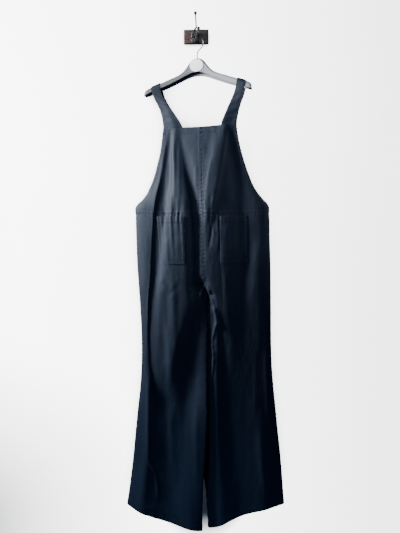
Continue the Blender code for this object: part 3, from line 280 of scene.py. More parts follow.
# Creases that only the finished cloth has, from one place to another, bowed sideways
Crease = namedtuple("Crease", "x z to_x to_z bow width height")
FRONT_CREASES = (
    # gathers above and below the waist seam
    Crease(-0.122, -0.522, -0.116, -0.574, 0.001, 0.0034, 0.0013),
    Crease(-0.101, -0.500, -0.094, -0.574, 0.001, 0.0034, 0.0013),
    Crease(-0.080, -0.516, -0.074, -0.574, -0.001, 0.0034, 0.0014),
    Crease(-0.060, -0.505, -0.054, -0.574, 0.001, 0.0036, 0.0012),
    Crease(0.010, -0.520, 0.016, -0.574, 0.001, 0.0034, 0.0011),
    Crease(0.038, -0.505, 0.034, -0.574, -0.001, 0.0034, 0.0011),
    Crease(0.030, -0.566, 0.041, -0.650, 0.002, 0.0036, 0.0014),
    Crease(0.050, -0.566, 0.045, -0.640, -0.002, 0.0036, 0.0012),
    # thin upright creases in the left pocket
    Crease(-0.129, -0.566, -0.123, -0.690, 0.002, 0.0046, 0.0011),
    Crease(-0.101, -0.566, -0.098, -0.660, -0.002, 0.0042, 0.0008),
    Crease(-0.081, -0.566, -0.076, -0.722, 0.002, 0.0046, 0.0010),
    Crease(-0.066, -0.566, -0.061, -0.640, 0.001, 0.0040, 0.0007),
    Crease(-0.113, -0.640, -0.106, -0.768, 0.003, 0.0052, 0.0009),
    # the bib: thin lines that run down from both corners of the neck
    Crease(-0.093, -0.310, -0.088, -0.560, -0.003, 0.0070, 0.0020),
    Crease(-0.104, -0.330, -0.126, -0.560, 0.004, 0.0060, -0.0014),
    Crease(-0.070, -0.330, -0.072, -0.570, 0.002, 0.0060, 0.0012),
    Crease(0.035, -0.380, 0.010, -0.570, 0.003, 0.0055, 0.0012),
    Crease(-0.018, -0.400, -0.012, -0.560, 0.002, 0.0060, 0.0010),
    # the waist, over and under its seam
    Crease(-0.134, -0.520, -0.128, -0.620, 0.002, 0.0050, 0.0012),
    Crease(-0.116, -0.530, -0.114, -0.640, -0.002, 0.0050, 0.0012),
    Crease(-0.098, -0.520, -0.094, -0.720, 0.002, 0.0060, 0.0014),
    Crease(-0.080, -0.530, -0.072, -0.700, -0.002, 0.0055, 0.0013),
    Crease(-0.062, -0.540, -0.062, -0.690, 0.002, 0.0050, 0.0014),
    Crease(0.030, -0.500, 0.026, -0.620, 0.003, 0.0050, -0.0020),
    Crease(0.042, -0.560, 0.022, -0.690, 0.002, 0.0055, -0.0026),
    Crease(0.052, -0.600, 0.044, -0.700, -0.003, 0.0060, 0.0014),
    Crease(0.016, -0.520, 0.012, -0.780, 0.002, 0.0060, 0.0016),
    Crease(0.150, -0.580, 0.128, -0.740, 0.004, 0.0140, 0.0018),
    Crease(0.196, -0.640, 0.156, -0.880, 0.006, 0.0180, 0.0026),
    # the crotch: an upside-down V and the lines beside it
    Crease(0.014, -0.790, -0.016, -0.880, 0.006, 0.0042, 0.0044),
    Crease(-0.013, -0.850, -0.019, -0.985, 0.004, 0.0050, 0.0040),
    Crease(0.010, -0.796, 0.040, -0.900, -0.005, 0.0042, 0.0044),
    Crease(0.036, -0.870, 0.047, -0.950, -0.002, 0.0050, 0.0046),
    Crease(0.002, -0.800, -0.008, -0.850, 0.003, 0.0036, 0.0022),
    Crease(0.020, -0.810, 0.026, -0.870, -0.002, 0.0036, 0.0026),
    Crease(-0.024, -0.830, -0.034, -0.910, 0.003, 0.0050, 0.0018),
    Crease(-0.032, -0.760, -0.040, -0.860, 0.003, 0.0060, -0.0016),
    Crease(0.004, -0.770, 0.004, -0.800, 0.000, 0.0050, 0.0024),
    Crease(0.000, -0.845, 0.008, -0.895, 0.002, 0.0038, 0.0030),
    Crease(0.021, -0.845, 0.031, -0.912, -0.002, 0.0038, 0.0030),
    Crease(0.047, -0.920, 0.029, -1.005, 0.002, 0.0045, 0.0048),
    Crease(0.028, -0.985, 0.030, -1.090, -0.004, 0.0045, 0.0044),
    Crease(0.034, -1.060, 0.024, -1.180, 0.003, 0.0048, 0.0036),
    Crease(0.022, -1.160, 0.026, -1.270, -0.002, 0.0050, 0.0020),
    # the left leg: cross wrinkles under the pocket, the thin ridge beside the side seam and its loop
    Crease(-0.140, -0.775, -0.108, -0.820, 0.003, 0.0080, 0.0012),
    Crease(-0.132, -0.800, -0.086, -0.850, 0.004, 0.0090, 0.0012),
    Crease(-0.116, -0.840, -0.074, -0.790, 0.003, 0.0090, -0.0010),
    Crease(-0.094, -0.760, -0.090, -1.060, 0.004, 0.0110, 0.0018),
    Crease(-0.120, -0.900, -0.112, -1.150, -0.004, 0.0120, 0.0016),
    Crease(-0.182, -1.090, -0.188, -1.430, 0.003, 0.0055, 0.0040),
    Crease(-0.193, -1.390, -0.163, -1.555, -0.016, 0.0055, 0.0048),
    Crease(-0.180, -1.430, -0.152, -1.530, -0.012, 0.0065, -0.0036),
    Crease(-0.200, -1.000, -0.206, -1.250, 0.002, 0.0070, 0.0020),
    Crease(-0.022, -1.180, -0.026, -1.600, 0.003, 0.0090, 0.0016),
    Crease(-0.110, -1.200, -0.096, -1.500, 0.006, 0.0140, 0.0016),
    Crease(-0.215, -1.560, -0.080, -1.612, -0.012, 0.0110, 0.0026),
    # the right leg
    Crease(0.160, -0.940, 0.170, -1.300, -0.006, 0.0150, 0.0010),
    Crease(0.210, -1.000, 0.222, -1.320, 0.003, 0.0080, 0.0024),
    Crease(0.190, -1.280, 0.214, -1.540, 0.008, 0.0130, 0.0028),
    Crease(0.140, -1.250, 0.150, -1.580, -0.006, 0.0140, 0.0008),
    Crease(0.230, -1.380, 0.244, -1.550, 0.002, 0.0080, -0.0020),
)
BACK_CREASES = (
    Crease(-0.078, -0.310, -0.050, -0.540, 0.004, 0.0060, -0.0018),
    Crease(0.076, -0.310, 0.060, -0.560, -0.004, 0.0060, -0.0018),
    Crease(-0.098, -0.320, -0.110, -0.560, 0.003, 0.0070, 0.0016),
    Crease(0.096, -0.320, 0.112, -0.560, -0.003, 0.0070, 0.0016),
    Crease(-0.040, -0.480, -0.036, -0.640, 0.003, 0.0060, 0.0012),
    Crease(0.050, -0.500, 0.046, -0.660, -0.003, 0.0060, 0.0012),
    Crease(-0.120, -0.540, -0.114, -0.700, 0.003, 0.0070, 0.0014),
    Crease(0.136, -0.540, 0.128, -0.720, -0.003, 0.0070, 0.0014),
    Crease(-0.006, -0.790, -0.046, -0.850, 0.006, 0.0080, 0.0032),
    Crease(0.010, -0.790, 0.052, -0.850, -0.006, 0.0080, 0.0032),
    Crease(-0.020, -0.840, -0.060, -0.930, 0.006, 0.0090, 0.0026),
    Crease(0.026, -0.840, 0.066, -0.940, -0.006, 0.0090, 0.0026),
    Crease(-0.120, -0.760, -0.060, -0.840, 0.008, 0.0110, 0.0018),
    Crease(0.130, -0.770, 0.070, -0.850, -0.008, 0.0110, 0.0018),
    Crease(-0.150, -0.900, -0.160, -1.250, 0.006, 0.0120, 0.0020),
    Crease(0.160, -0.900, 0.172, -1.280, -0.006, 0.0120, 0.0020),
    Crease(-0.070, -1.000, -0.080, -1.420, 0.006, 0.0120, 0.0020),
    Crease(0.076, -1.000, 0.086, -1.460, -0.006, 0.0120, 0.0020),
    Crease(-0.190, -1.300, -0.210, -1.560, 0.006, 0.0100, 0.0022),
    Crease(0.196, -1.260, 0.214, -1.560, -0.006, 0.0100, 0.0022),
    Crease(-0.130, -1.360, -0.136, -1.600, 0.004, 0.0140, -0.0020),
    Crease(0.140, -1.380, 0.150, -1.600, -0.004, 0.0140, -0.0020),
)

# Sewing: distances from a seam or an edge
EDGE_STEPS = (0.0, 0.0005, 0.0011, 0.0018, 0.0027, 0.0040, 0.0060, 0.0080, 0.0092, 0.0106, 0.0130)
HEM_STEPS = (0.0, 0.0006, 0.0014, 0.0025, 0.0045, 0.0080, 0.0120, 0.0160, 0.0192, 0.0206, 0.0220, 0.0250)
CLOTH_STEP = 0.0031
DITCH_WIDTH, DITCH_DEPTH = 0.0020, 0.0005
BAND_RISE = 0.00045
FELL_WIDTH = 0.0090
HEM_WIDTH = 0.0200
LEG_LEAN, LEAN_WIDTH, LEAN_DEPTH = 0.0200, 0.038, 0.010
CLOSING = 0.60
# the line along which the left leg's front folds over, from the crotch down to the hem
LEG_LINE_Z = (0.818, 0.868, 0.934, 1.018, 1.154, 1.292, 1.379, 1.431, 1.502, 1.556, 1.652)
LEG_LINE_X = (0.0173, 0.0168, 0.0146, 0.0122, 0.0100, 0.0080, 0.0039, -0.0017, -0.0064, -0.0087, -0.0096)
LINE_SOFTNESS, LINE_PULL, PULL_WIDTH = 0.0022, 0.027, 0.065
RIPPLE = 0.0013
POCKET_COLUMNS = (0.26, 0.665)
STRAP_COLUMN = {LEFT: 0.493, RIGHT: 0.56}
STITCH_PITCH = 0.0034
STITCH_SIZE = Vector((0.0027, 0.00050, 0.00030))

# Hanger: its turn away from the wall, its neck, and its arms' sections at each distance from the neck
HANGER_TURN = math.radians(20)
NECK_X, NECK_Y = 0.0028, -0.0700
ARM_LENGTH = 0.1810
ARM_BOW = 0.0100
HANGER_WALL = 0.0024
CHANNEL_ROOF = 0.0045
CHANNEL_RISE = 0.0200
SOLID_END = 0.0040
Arm = namedtuple("Arm", "reach top front_low back_low depth")
ARMS = (
    Arm(0.0000, -0.0810, -0.1235, -0.1355, 0.0160), Arm(0.0100, -0.0820, -0.1243, -0.1357, 0.0160),
    Arm(0.0200, -0.0880, -0.1275, -0.1372, 0.0160), Arm(0.0300, -0.0990, -0.1310, -0.1398, 0.0160),
    Arm(0.0380, -0.1095, -0.1342, -0.1425, 0.0160), Arm(0.0500, -0.1205, -0.1395, -0.1470, 0.0162),
    Arm(0.0640, -0.1283, -0.1455, -0.1525, 0.0166), Arm(0.0950, -0.1395, -0.1582, -0.1642, 0.0180),
    Arm(0.1265, -0.1508, -0.1690, -0.1745, 0.0200), Arm(0.1600, -0.1625, -0.1800, -0.1850, 0.0215),
    Arm(0.1720, -0.1680, -0.1850, -0.1890, 0.0205), Arm(0.1780, -0.1730, -0.1880, -0.1910, 0.0170),
    Arm(0.1810, -0.1800, -0.1890, -0.1905, 0.0110),
)

# Straps: where each one crosses the hanger's arm, its width there, its clearance over the arm, and how
# far its two edges have come from the bib to that place at each share of the height
STRAP_REACH = {LEFT: -0.1401, RIGHT: 0.1477}
STRAP_WIDTH = 0.0270
STRAP_CLOTH = 0.0024
STRAP_CLEARANCE = 0.0006
STRAP_BEND = 0.0060
Run = namedtuple("Run", "share inner outer")
STRAP_RUN = (
    Run(0.00, 0.000, 0.000), Run(0.08, 0.060, 0.010), Run(0.20, 0.190, 0.048), Run(0.34, 0.355, 0.148),
    Run(0.48, 0.525, 0.284), Run(0.61, 0.690, 0.462), Run(0.75, 0.845, 0.690), Run(0.88, 0.935, 0.855),
    Run(1.00, 1.000, 1.000),
)


def ease(t):
    t = np.clip(t, 0.0, 1.0)
    return t * t * (3 - 2 * t)


def smooth_column(rows, name, at):
    """A column of a table, read at any height or reach on a smooth curve through its rows."""
    keys = np.array([row[0] for row in rows])
    values = np.array([getattr(row, name) for row in rows])
    if keys[0] > keys[-1]:
        keys, values = keys[::-1], values[::-1]
    slopes = np.gradient(values, keys)
    at = np.clip(np.asarray(at, float), keys[0], keys[-1])
    k = np.clip(np.searchsorted(keys, at, side="right") - 1, 0, len(keys) - 2)
    span = keys[k + 1] - keys[k]
    t = (at - keys[k]) / span
    return (
        values[k] * (1 + 2 * t) * (1 - t) ** 2
        + slopes[k] * span * t * (1 - t) ** 2
        + values[k + 1] * t * t * (3 - 2 * t)
        + slopes[k + 1] * span * t * t * (t - 1)
    )


def crumple(x, z, across, down, seed):
    """Smooth random heights from -1 to 1, in bumps of a size across and down."""
    lattice = np.random.default_rng(seed).uniform(-1, 1, (97, 89))
    gx, gz = x / across + 48.3, z / down + 44.7
    i, k = np.floor(gx).astype(int), np.floor(gz).astype(int)
    fx, fz = ease(gx - i), ease(gz - k)

    def corner(di, dk):
        return lattice[(i + di) % 97, (k + dk) % 89]

    top = corner(0, 0) * (1 - fx) + corner(1, 0) * fx
    low = corner(0, 1) * (1 - fx) + corner(1, 1) * fx
    return top * (1 - fz) + low * fz


# The garment's drape, as its solids have it

def crotch_dip(x, half, z):
    """0 on the crotch and along the inseams, 1 where the two legs hang as one tube."""
    above = np.maximum(z - CROTCH_Z, 0.0) / CROTCH_ROUNDING
    below = ease((CROTCH_Z - z) / (CROTCH_Z - LEGS_ROUND_Z))
    width = CROTCH_WIDTH + (half / 2 - CROTCH_WIDTH) * below
    far = np.minimum(np.sqrt((x / width) ** 2 + above**2), 1.0)
    return np.sqrt(1 - (1 - far) ** 2)


def depth_share(u, x, half, z):
    """How much of the section's depth the cloth has at a share of the half width."""
    free_edge = ease((z - UNDERARM_Z) / (FRONT_NECK_Z - UNDERARM_Z))
    return np.maximum(1 - u * u, 0.0) ** (0.5 + 0.4 * free_edge) * crotch_dip(x, half, z)


def fold_height(folds, x, z):
    total = np.zeros(np.broadcast(x, z).shape)
    for crests in folds:
        lowest, highest = crests[-1].z, crests[0].z
        inside = (z >= lowest) & (z <= highest)
        line = smooth_column(crests, "x", z)
        width = smooth_column(crests, "width", z)
        height = smooth_column(crests, "height", z)
        total += np.where(inside, height * np.exp(-(((x - line) / width) ** 2)), 0.0)
    return total


def cloth_point(side, layer, u, z):
    """A point of the middle of the cloth, u from the centre line or inseam to the side edge."""
    u, z = np.asarray(u, float), np.asarray(z, float)
    half = smooth_column(SECTIONS, "left" if side == LEFT else "right", z)
    inner = smooth_column(SECTIONS, "leg_gap", z) * (z < CROTCH_Z)
    across = u * (half - inner)
    sway = smooth_column(INSEAM_SWAY, "x", z) * (1 - u) ** 2
    x = side * (inner + across) + sway
    armhole = np.maximum(smooth_column(SECTIONS, "armhole", z), 0.0) * (z > UNDERARM_Z)
    depth = smooth_column(SECTIONS, "front" if layer == FRONT else "back", z)
    stand = armhole + (depth - armhole) * depth_share(u, across, half, z)
    folds = FRONT_FOLDS if layer == FRONT else BACK_FOLDS
    seam_fade = (1 - u**14) * crotch_dip(4 * across, half, z)
    stand = stand + fold_height(folds, x, z) * seam_fade
    turn = np.radians(smooth_column(SECTIONS, "turn", z))
    y = smooth_column(SECTIONS, "middle_y", z) - x * np.tan(turn) + layer * stand
    return np.stack(np.broadcast_arrays(CENTRE_X + x, y, z), axis=-1)


def neck_height(side, layer, u):
    """The top edge of the bib, a little higher towards the right on the front."""
    if layer == BACK:
        return BACK_NECK_Z + 0 * u
    rise = NECK_TILT * SECTIONS[0].right * u if side == RIGHT else 0 * u
    return FRONT_NECK_Z + rise


def hem_height(side, u):
    hem = HEMS[side]
    share = 1 - (1 - u) ** hem.power if hem.from_side else u**hem.power
    return INNER_HEM_Z + hem.rise * share


# Finer relief, which lies on that drape

def crease_height(creases, x, z):
    """Soft ridges and troughs, highest in the middle of their length."""
    total = np.zeros(np.broadcast(x, z).shape)
    for c in creases:
        length = math.hypot(c.to_x - c.x, c.to_z - c.z)
        along_x, along_z = (c.to_x - c.x) / length, (c.to_z - c.z) / length
        t = ((x - c.x) * along_x + (z - c.z) * along_z) / length
        inside = np.clip(t, 0.0, 1.0)
        off = (x - c.x) * along_z - (z - c.z) * along_x - c.bow * np.sin(math.pi * inside)
        fade = ease(inside / 0.22) * ease((1 - inside) / 0.28)
        total += c.height * fade * np.exp(-((off / c.width) ** 2))
    return total


def puckers(x, z, side, layer):
    """The small gathers along the waist seam, strongest over the left pocket, and those on the centre seam."""
    at_waist = np.exp(-np.abs(z - WAIST_Z) / 0.015)
    left_pocket = 0.35 + 0.65 * ease((0.075 - np.abs(x + 0.098)) / 0.03) * (layer == FRONT)
    uneven = 0.6 + 0.4 * crumple(x, z, 0.016, 0.04, 11 + layer)
    fine = np.sin(2 * math.pi * x / 0.0098 + 1.9 * np.sin(x / 0.019)) + 0.5 * np.sin(2 * math.pi * x / 0.0157 + 2.0)
    waist = 0.0018 * at_waist * left_pocket * uneven * fine
    at_centre = np.exp(-np.abs(x) / 0.010) * (z > CROTCH_Z)
    centre = 0.0005 * at_centre * np.sin(2 * math.pi * z / 0.0125 + 1.6 * np.sin(z / 0.031 + side))
    return waist + centre


def inseam_ripple(z, from_inner, side):
    """The cloth beside the inseams is pulled into small waves by their sewing, most of all above the knee."""
    strength = 0.35 + 0.65 * ease((z + 1.35) / 0.25)
    wave = np.sin(2 * math.pi * z / 0.036 + 2.2 * np.sin(z / 0.047 + side) + side)
    beside = np.exp(-(((from_inner - 0.012) / 0.009) ** 2))
    return 0.0024 * wave * strength * beside * ease((CROTCH_Z - z) / 0.03)


def legs_together(points, side, layer):
    """Both inseams wave and lean together down to the knee; the left leg's front folds over along one line."""
    x, y, z = points[..., 0] - CENTRE_X, points[..., 1], points[..., 2]
    below = ease((CROTCH_Z - z) / 0.035)
    near = np.exp(-((x / LEAN_WIDTH) ** 2))
    wave = RIPPLE * np.sin(2 * math.pi * z / 0.034 + 2.0 * np.sin(z / 0.041)) * ease((z + 1.42) / 0.20)
    forward = smooth_column(SECTIONS, "middle_y", z) - y
    together = ease((z + 1.60) / 0.20)
    lean = LEG_LEAN * np.tanh(forward / LEAN_DEPTH) * (0.25 + 0.75 * together)
    closing = -np.sign(x) * (smooth_column(SECTIONS, "leg_gap", z) - 0.0011) * CLOSING * together
    moved = points.copy()
    moved[..., 0] += below * near * (wave + lean + closing)
    if side == LEFT and layer == FRONT:
        line = CENTRE_X + np.interp(-z, LEG_LINE_Z, LEG_LINE_X) + wave
        pull = LINE_PULL * (0.45 + 0.55 * ease((-z - 1.00) / 0.22)) * np.exp(-((x / PULL_WIDTH) ** 2))
        reach = moved[..., 0] + pull * np.tanh(forward / LEAN_DEPTH)
        inside = line - LINE_SOFTNESS * np.logaddexp(0.0, (line - reach) / LINE_SOFTNESS)
        moved[..., 0] += below * (inside - moved[..., 0])
    return moved


def crumpled(x, z, side, layer):
    """The uneven lie of the whole cloth: long soft streaks down the grain, and small dents."""
    seed = 20 + 3 * layer
    long_streaks = 0.0011 * crumple(x, z, 0.046, 0.240, seed) + 0.0007 * crumple(x, z, 0.021, 0.130, seed + 1)
    dents = 0.00035 * crumple(x, z, 0.011, 0.038, seed + 2) + 0.00016 * crumple(x, z, 0.006, 0.015, seed + 9)
    return long_streaks + dents


def band(distance, width):
    """The step up on to turned or lapped cloth beside a seam or an edge."""
    return BAND_RISE * (1 - ease((distance - width + 0.0007) / 0.0014))


def ditch(distance):
    """Cloth turns in at a seam."""
    return -DITCH_DEPTH * np.clip(1 - distance / DITCH_WIDTH, 0.0, 1.0) ** 2


def lengths(points, axis):
    """Distance along a grid of points from its first row or column."""
    steps = np.linalg.norm(np.diff(points, axis=axis), axis=-1)
    start = np.zeros_like(np.take(steps, [0], axis=axis))
    return np.concatenate([start, np.cumsum(steps, axis=axis)], axis=axis)


def outward(points, turn):
    """Unit normals of a grid of points."""
    normal = np.cross(np.gradient(points, axis=1), np.gradient(points, axis=0)) * turn
    return normal / np.maximum(np.linalg.norm(normal, axis=-1, keepdims=True), 1e-12)


def steps_between(length, first, last, step=CLOTH_STEP):
    """Places along a length, close together at both its ends."""
    middle = np.linspace(first[-1], length - last[-1], max(3, round((length - first[-1] - last[-1]) / step)) + 1)
    return np.concatenate([first[:-1], middle, length - np.array(last[-2::-1])])


def shares_across(side, layer, z):
    """Shares of the half width whose distances along the cloth are even, and close together at the seams."""
    dense = 1 - np.linspace(1, 0, 4001) ** 2
    row = cloth_point(side, layer, dense, np.full(dense.shape, z))
    run = lengths(row[None], 1)[0]
    return np.interp(steps_between(run[-1], EDGE_STEPS, EDGE_STEPS), run, dense)


# Making pieces

def activate(piece):
    bpy.ops.object.select_all(action="DESELECT")
    piece.select_set(True)
    bpy.context.view_layer.objects.active = piece


def apply_modifier(piece, kind, **settings):
    activate(piece)
    modifier = piece.modifiers.new(kind.lower(), kind)
    for name, value in settings.items():
        setattr(modifier, name, value)
    bpy.ops.object.modifier_apply(modifier=modifier.name)


def grid_piece(name, points, wear=None):
    """A grid primitive whose points are put in their places, with a map of the cloth in metres."""
    rows, columns = points.shape[:2]
    bpy.ops.object.select_all(action="DESELECT")
    bpy.ops.mesh.primitive_grid_add(x_subdivisions=columns - 1, y_subdivisions=rows - 1, size=1.0)
    piece = bpy.context.object
    piece.name = piece.data.name = name
    mesh = piece.data
    mesh.vertices.foreach_set("co", points.astype(np.float32).ravel())
    across, down = lengths(points, 1), lengths(points, 0)
    cloth_map = np.stack([across, down.mean(axis=1, keepdims=True) + 0 * across], axis=-1).reshape(-1, 2)
    corners = np.zeros(len(mesh.loops), np.int32)
    mesh.loops.foreach_get("vertex_index", corners)
    mesh.uv_layers[0].name = "cloth_metres"
    mesh.uv_layers[0].data.foreach_set("uv", cloth_map[corners].astype(np.float32).ravel())
    worn = mesh.attributes.new("wear", "FLOAT", "POINT")
    values = np.zeros(rows * columns) if wear is None else wear.ravel()
    worn.data.foreach_set("value", values.astype(np.float32))
    mesh.update()
    return piece


def finish_cloth(piece, material, thickness):
    """Gives the sheet its wall and shades it smooth."""
    apply_modifier(piece, "SOLIDIFY", thickness=thickness, offset=0.0)
    piece.data.materials.append(material)
    activate(piece)
    bpy.ops.object.shade_smooth_by_angle(angle=math.radians(60))


def on_frame(piece, slot, *nodes):
    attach(piece, "root")
    if nodes:
        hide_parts(*nodes)
    return piece


def faces_out(points, turn, values):
    """The same grid, with its rows turned round where its faces would point in."""
    return (points[::-1], values[::-1]) if turn < 0 else (points, values)


# The camera comes first, then the garment

def make_camera():
    bpy.ops.object.camera_add(location=EYE)
    camera = bpy.context.object
    camera.name = "camera"
    pose = Matrix.Rotation(math.radians(90) + EYE_PITCH, 4, "X") @ Matrix.Rotation(EYE_ROLL, 4, "Z")
    camera.matrix_world = Matrix.Translation(EYE) @ pose
    camera.data.sensor_width = SENSOR
    camera.data.lens = LENS_PIXELS / PHOTO_HEIGHT * SENSOR
    camera.data.clip_start = 0.05
    bpy.context.scene.camera = camera


def relief(side, layer, u, points, from_inseam=None):
    """Everything finer than the solids' folds, as a height over the cloth."""
    x, z = points[..., 0] - CENTRE_X, points[..., 2]
    creases = FRONT_CREASES if layer == FRONT else BACK_CREASES
    fade = 1 - u**10
    if from_inseam is not None:
        fade = fade * np.where(z < CROTCH_Z, ease(from_inseam / 0.006), 1.0)
    height = (crease_height(creases, x, z) + crumpled(x, z, side, layer)) * fade
    height = height + puckers(x, z, side, layer)
    if from_inseam is not None:
        height = height + inseam_ripple(z, from_inseam, side) * (1.0 if layer == FRONT else 0.35)
    return height


def shaped(side, layer, u, points, from_inseam=None):
    """The drape with its large folds in their finished places; every seam and edge stays where it is."""
    if layer == BACK:
        return points
    x, z = points[..., 0] - CENTRE_X, points[..., 2]
    fade = 1 - u**10
    if from_inseam is not None:
        fade = fade * np.where(z < CROTCH_Z, ease(from_inseam / 0.008), 1.0)
    height = fold_height(FRONT_SHAPING, x, z) * fade
    return points + outward(points, side * layer) * height[..., None]


def bib_grid(side, layer):
    """Half of the front or back bib, from the neck to the waist seam."""
    u = shares_across(side, layer, -0.47)[None, :]
    neck = neck_height(side, layer, u)
    drop = steps_between(1.0, np.array(HEM_STEPS) / 0.274, np.array(EDGE_STEPS) / 0.274, CLOTH_STEP / 0.274)
    heights = neck + drop[:, None] * (WAIST_Z - neck)
    points = shaped(side, layer, u, cloth_point(side, layer, u, heights))
    z = heights
    from_inner = lengths(points, 1)
    from_outer = from_inner[:, -1:] - from_inner
    from_top = neck - z
    from_waist = z - WAIST_Z
    height = relief(side, layer, u, points)
    height = height + ditch(from_inner) + ditch(from_waist) + ditch(from_outer) * (z < UNDERARM_Z)
    height = height + band(from_waist, FELL_WIDTH)
    height = height + band(from_top, HEM_WIDTH) + band(from_outer, FELL_WIDTH) * (z > UNDERARM_Z + 0.004)
    if side == LEFT:
        height = height + band(from_inner, FELL_WIDTH)
    rows = {"inner": from_inner, "outer": from_outer, "top": from_top, "bottom": from_waist}
    return points, height, rows


def leg_grid(side, layer):
    """Half of the front or back below the waist seam, which is one leg's panel."""
    u = shares_across(side, layer, -1.15)[None, :]
    length = WAIST_Z - INNER_HEM_Z
    level = WAIST_Z - steps_between(length, EDGE_STEPS, HEM_STEPS)[:, None]
    dip = ease((HEM_LEVEL_START_Z - level) / (HEM_LEVEL_START_Z - INNER_HEM_Z))
    heights = level + dip * (hem_height(side, u) - INNER_HEM_Z)
    points = cloth_point(side, layer, u, heights)
    points = shaped(side, layer, u, points, lengths(points, 1))
    z = heights
    from_inner = lengths(points, 1)
    from_outer = from_inner[:, -1:] - from_inner
    from_hem = z - hem_height(side, u)
    from_waist = WAIST_Z - z
    points = legs_together(points, side, layer)
    height = relief(side, layer, u, points, from_inner)
    height = height + ditch(from_inner) * (z > CROTCH_Z) + ditch(from_outer) + ditch(from_waist)
    height = height + band(from_hem, HEM_WIDTH)
    roping = np.sin(2 * math.pi * (from_inner / 0.0115 + from_hem / 0.018))
    height = height + 0.0003 * roping * np.exp(-(((from_hem - 0.010) / 0.009) ** 2))
    if side == LEFT:
        height = height + band(from_inner, FELL_WIDTH) * (z > CROTCH_Z)
    rows = {"inner": from_inner, "outer": from_outer, "top": from_waist, "bottom": from_hem}
    return points, height, rows


def wear_of(rows, height):
    """Cloth is a little paler where it is rubbed: on its edges, its seams and its highest creases."""
    near = np.zeros_like(height)
    for distance in rows.values():
        near = np.maximum(near, np.exp(-np.abs(distance) / 0.004))
    return np.clip(0.55 * near + np.clip(height / 0.004, 0, 1) * 0.5, 0, 1)


Surface = namedtuple("Surface", "points normals rows")
surfaces = {}


def sew_panel(name, side, layer, made, material, node):
    """A panel of the garment: its sheet, moved out by its relief, and what the stitches need to find it."""
    points, height, rows = made
    turn = side * layer
    normals = outward(points, turn)
    middle = points + normals * height[..., None]
    surfaces[name] = Surface(middle + outward(middle, turn) * CLOTH / 2, outward(middle, turn), rows)
    piece = grid_piece(name, *faces_out(middle, turn, wear_of(rows, height)))
    finish_cloth(piece, material, CLOTH)
    on_frame(piece, "navy_cloth", node)
    return piece


def make_pocket(side, material):
    """A patch pocket that lies on the leg's panel and gapes a little at its mouth."""
    inner, outer = POCKET_COLUMNS
    u = np.linspace(inner, outer, 44)[None, :]
    drop = steps_between(POCKET_TOP_Z - POCKET_BOTTOM_Z, HEM_STEPS, EDGE_STEPS, 0.0030)
    heights = POCKET_TOP_Z - drop[:, None] + 0 * u
    points = shaped(side, FRONT, u, cloth_point(side, FRONT, u, heights))
    turn = side * FRONT
    normals = outward(points, turn)
    panel_relief = relief(side, FRONT, u, points)
    from_inner = lengths(points, 1)
    from_outer = from_inner[:, -1:] - from_inner
    from_top, from_bottom = POCKET_TOP_Z - points[..., 2], points[..., 2] - POCKET_BOTTOM_Z
    across = (u - inner) / (outer - inner)
    gape = 0.0022 * np.sin(math.pi * across) ** 0.7 * np.exp(-from_top / 0.035)
    puff = 0.0007 * np.sin(math.pi * across) ** 0.5 * ease(from_bottom / 0.02)
    own = crumple(points[..., 0], points[..., 2], 0.014, 0.030, 71 + side) * 0.0003
    near_side = np.minimum(from_inner, from_outer)
    edge_puckers = 0.00035 * np.sin(2 * math.pi * points[..., 2] / 0.0098) * np.exp(-near_side / 0.006)
    height = panel_relief + PANEL_CLOTH + SEAM_GAP + gape + puff + own + edge_puckers
    height = height + band(from_top, HEM_WIDTH) + band(near_side, FELL_WIDTH) * 0.4 + band(from_bottom, FELL_WIDTH) * 0.3
    height = height - 0.0006 * np.clip(1 - near_side / 0.0015, 0, 1) ** 2
    name = "pocket_" + NAMES[side]
    middle = points + normals * height[..., None]
    rows = {"inner": from_inner, "outer": from_outer, "top": from_top, "bottom": from_bottom}
    surfaces[name] = Surface(middle + outward(middle, turn) * CLOTH / 2, outward(middle, turn), rows)
    piece = grid_piece(name + "_cloth", *faces_out(middle, turn, wear_of(rows, panel_relief)))
    finish_cloth(piece, material, CLOTH)
    on_frame(piece, "navy_cloth", name)


# Straps, over the hanger's arms

def arm_place(reach):
    """Where the middle of the hanger's arm lies, seen from above, with its forward direction."""
    along = np.array([math.cos(HANGER_TURN), -math.sin(HANGER_TURN)])
    forward = np.array([-math.sin(HANGER_TURN), -math.cos(HANGER_TURN)])
    bow = ARM_BOW * (reach / ARM_LENGTH) ** 2
    return np.array([NECK_X, NECK_Y]) + along * reach + forward * bow, forward


def arm_value(name, reach):
    return float(smooth_column(ARMS, name, abs(reach)))


def face_y(x, radius):
    """How far forward a sheet on the arm's face lies at a place across the hanger."""
    reach = (x - NECK_X) / math.cos(HANGER_TURN)
    for _ in range(4):
        spot, forward = arm_place(reach)
        flat = spot + forward * radius
        reach += (x - flat[0]) / math.cos(HANGER_TURN)
    return flat[1]


def fall(foot, top, low, radius, share, w):
    """A point of the strap between the bib and the hanger, flat on the arm's face from its lower edge up."""
    inner, outer = smooth_column(STRAP_RUN, "inner", share), smooth_column(STRAP_RUN, "outer", share)
    x = foot[0] + (top[0] - foot[0]) * float(inner + (outer - inner) * w)
    back = ease(share * (top[2] - foot[2]) / (low - foot[2]))
    y = foot[1] + (face_y(x, radius) - foot[1]) * back
    return np.array([x, y, foot[2] + (top[2] - foot[2]) * share])


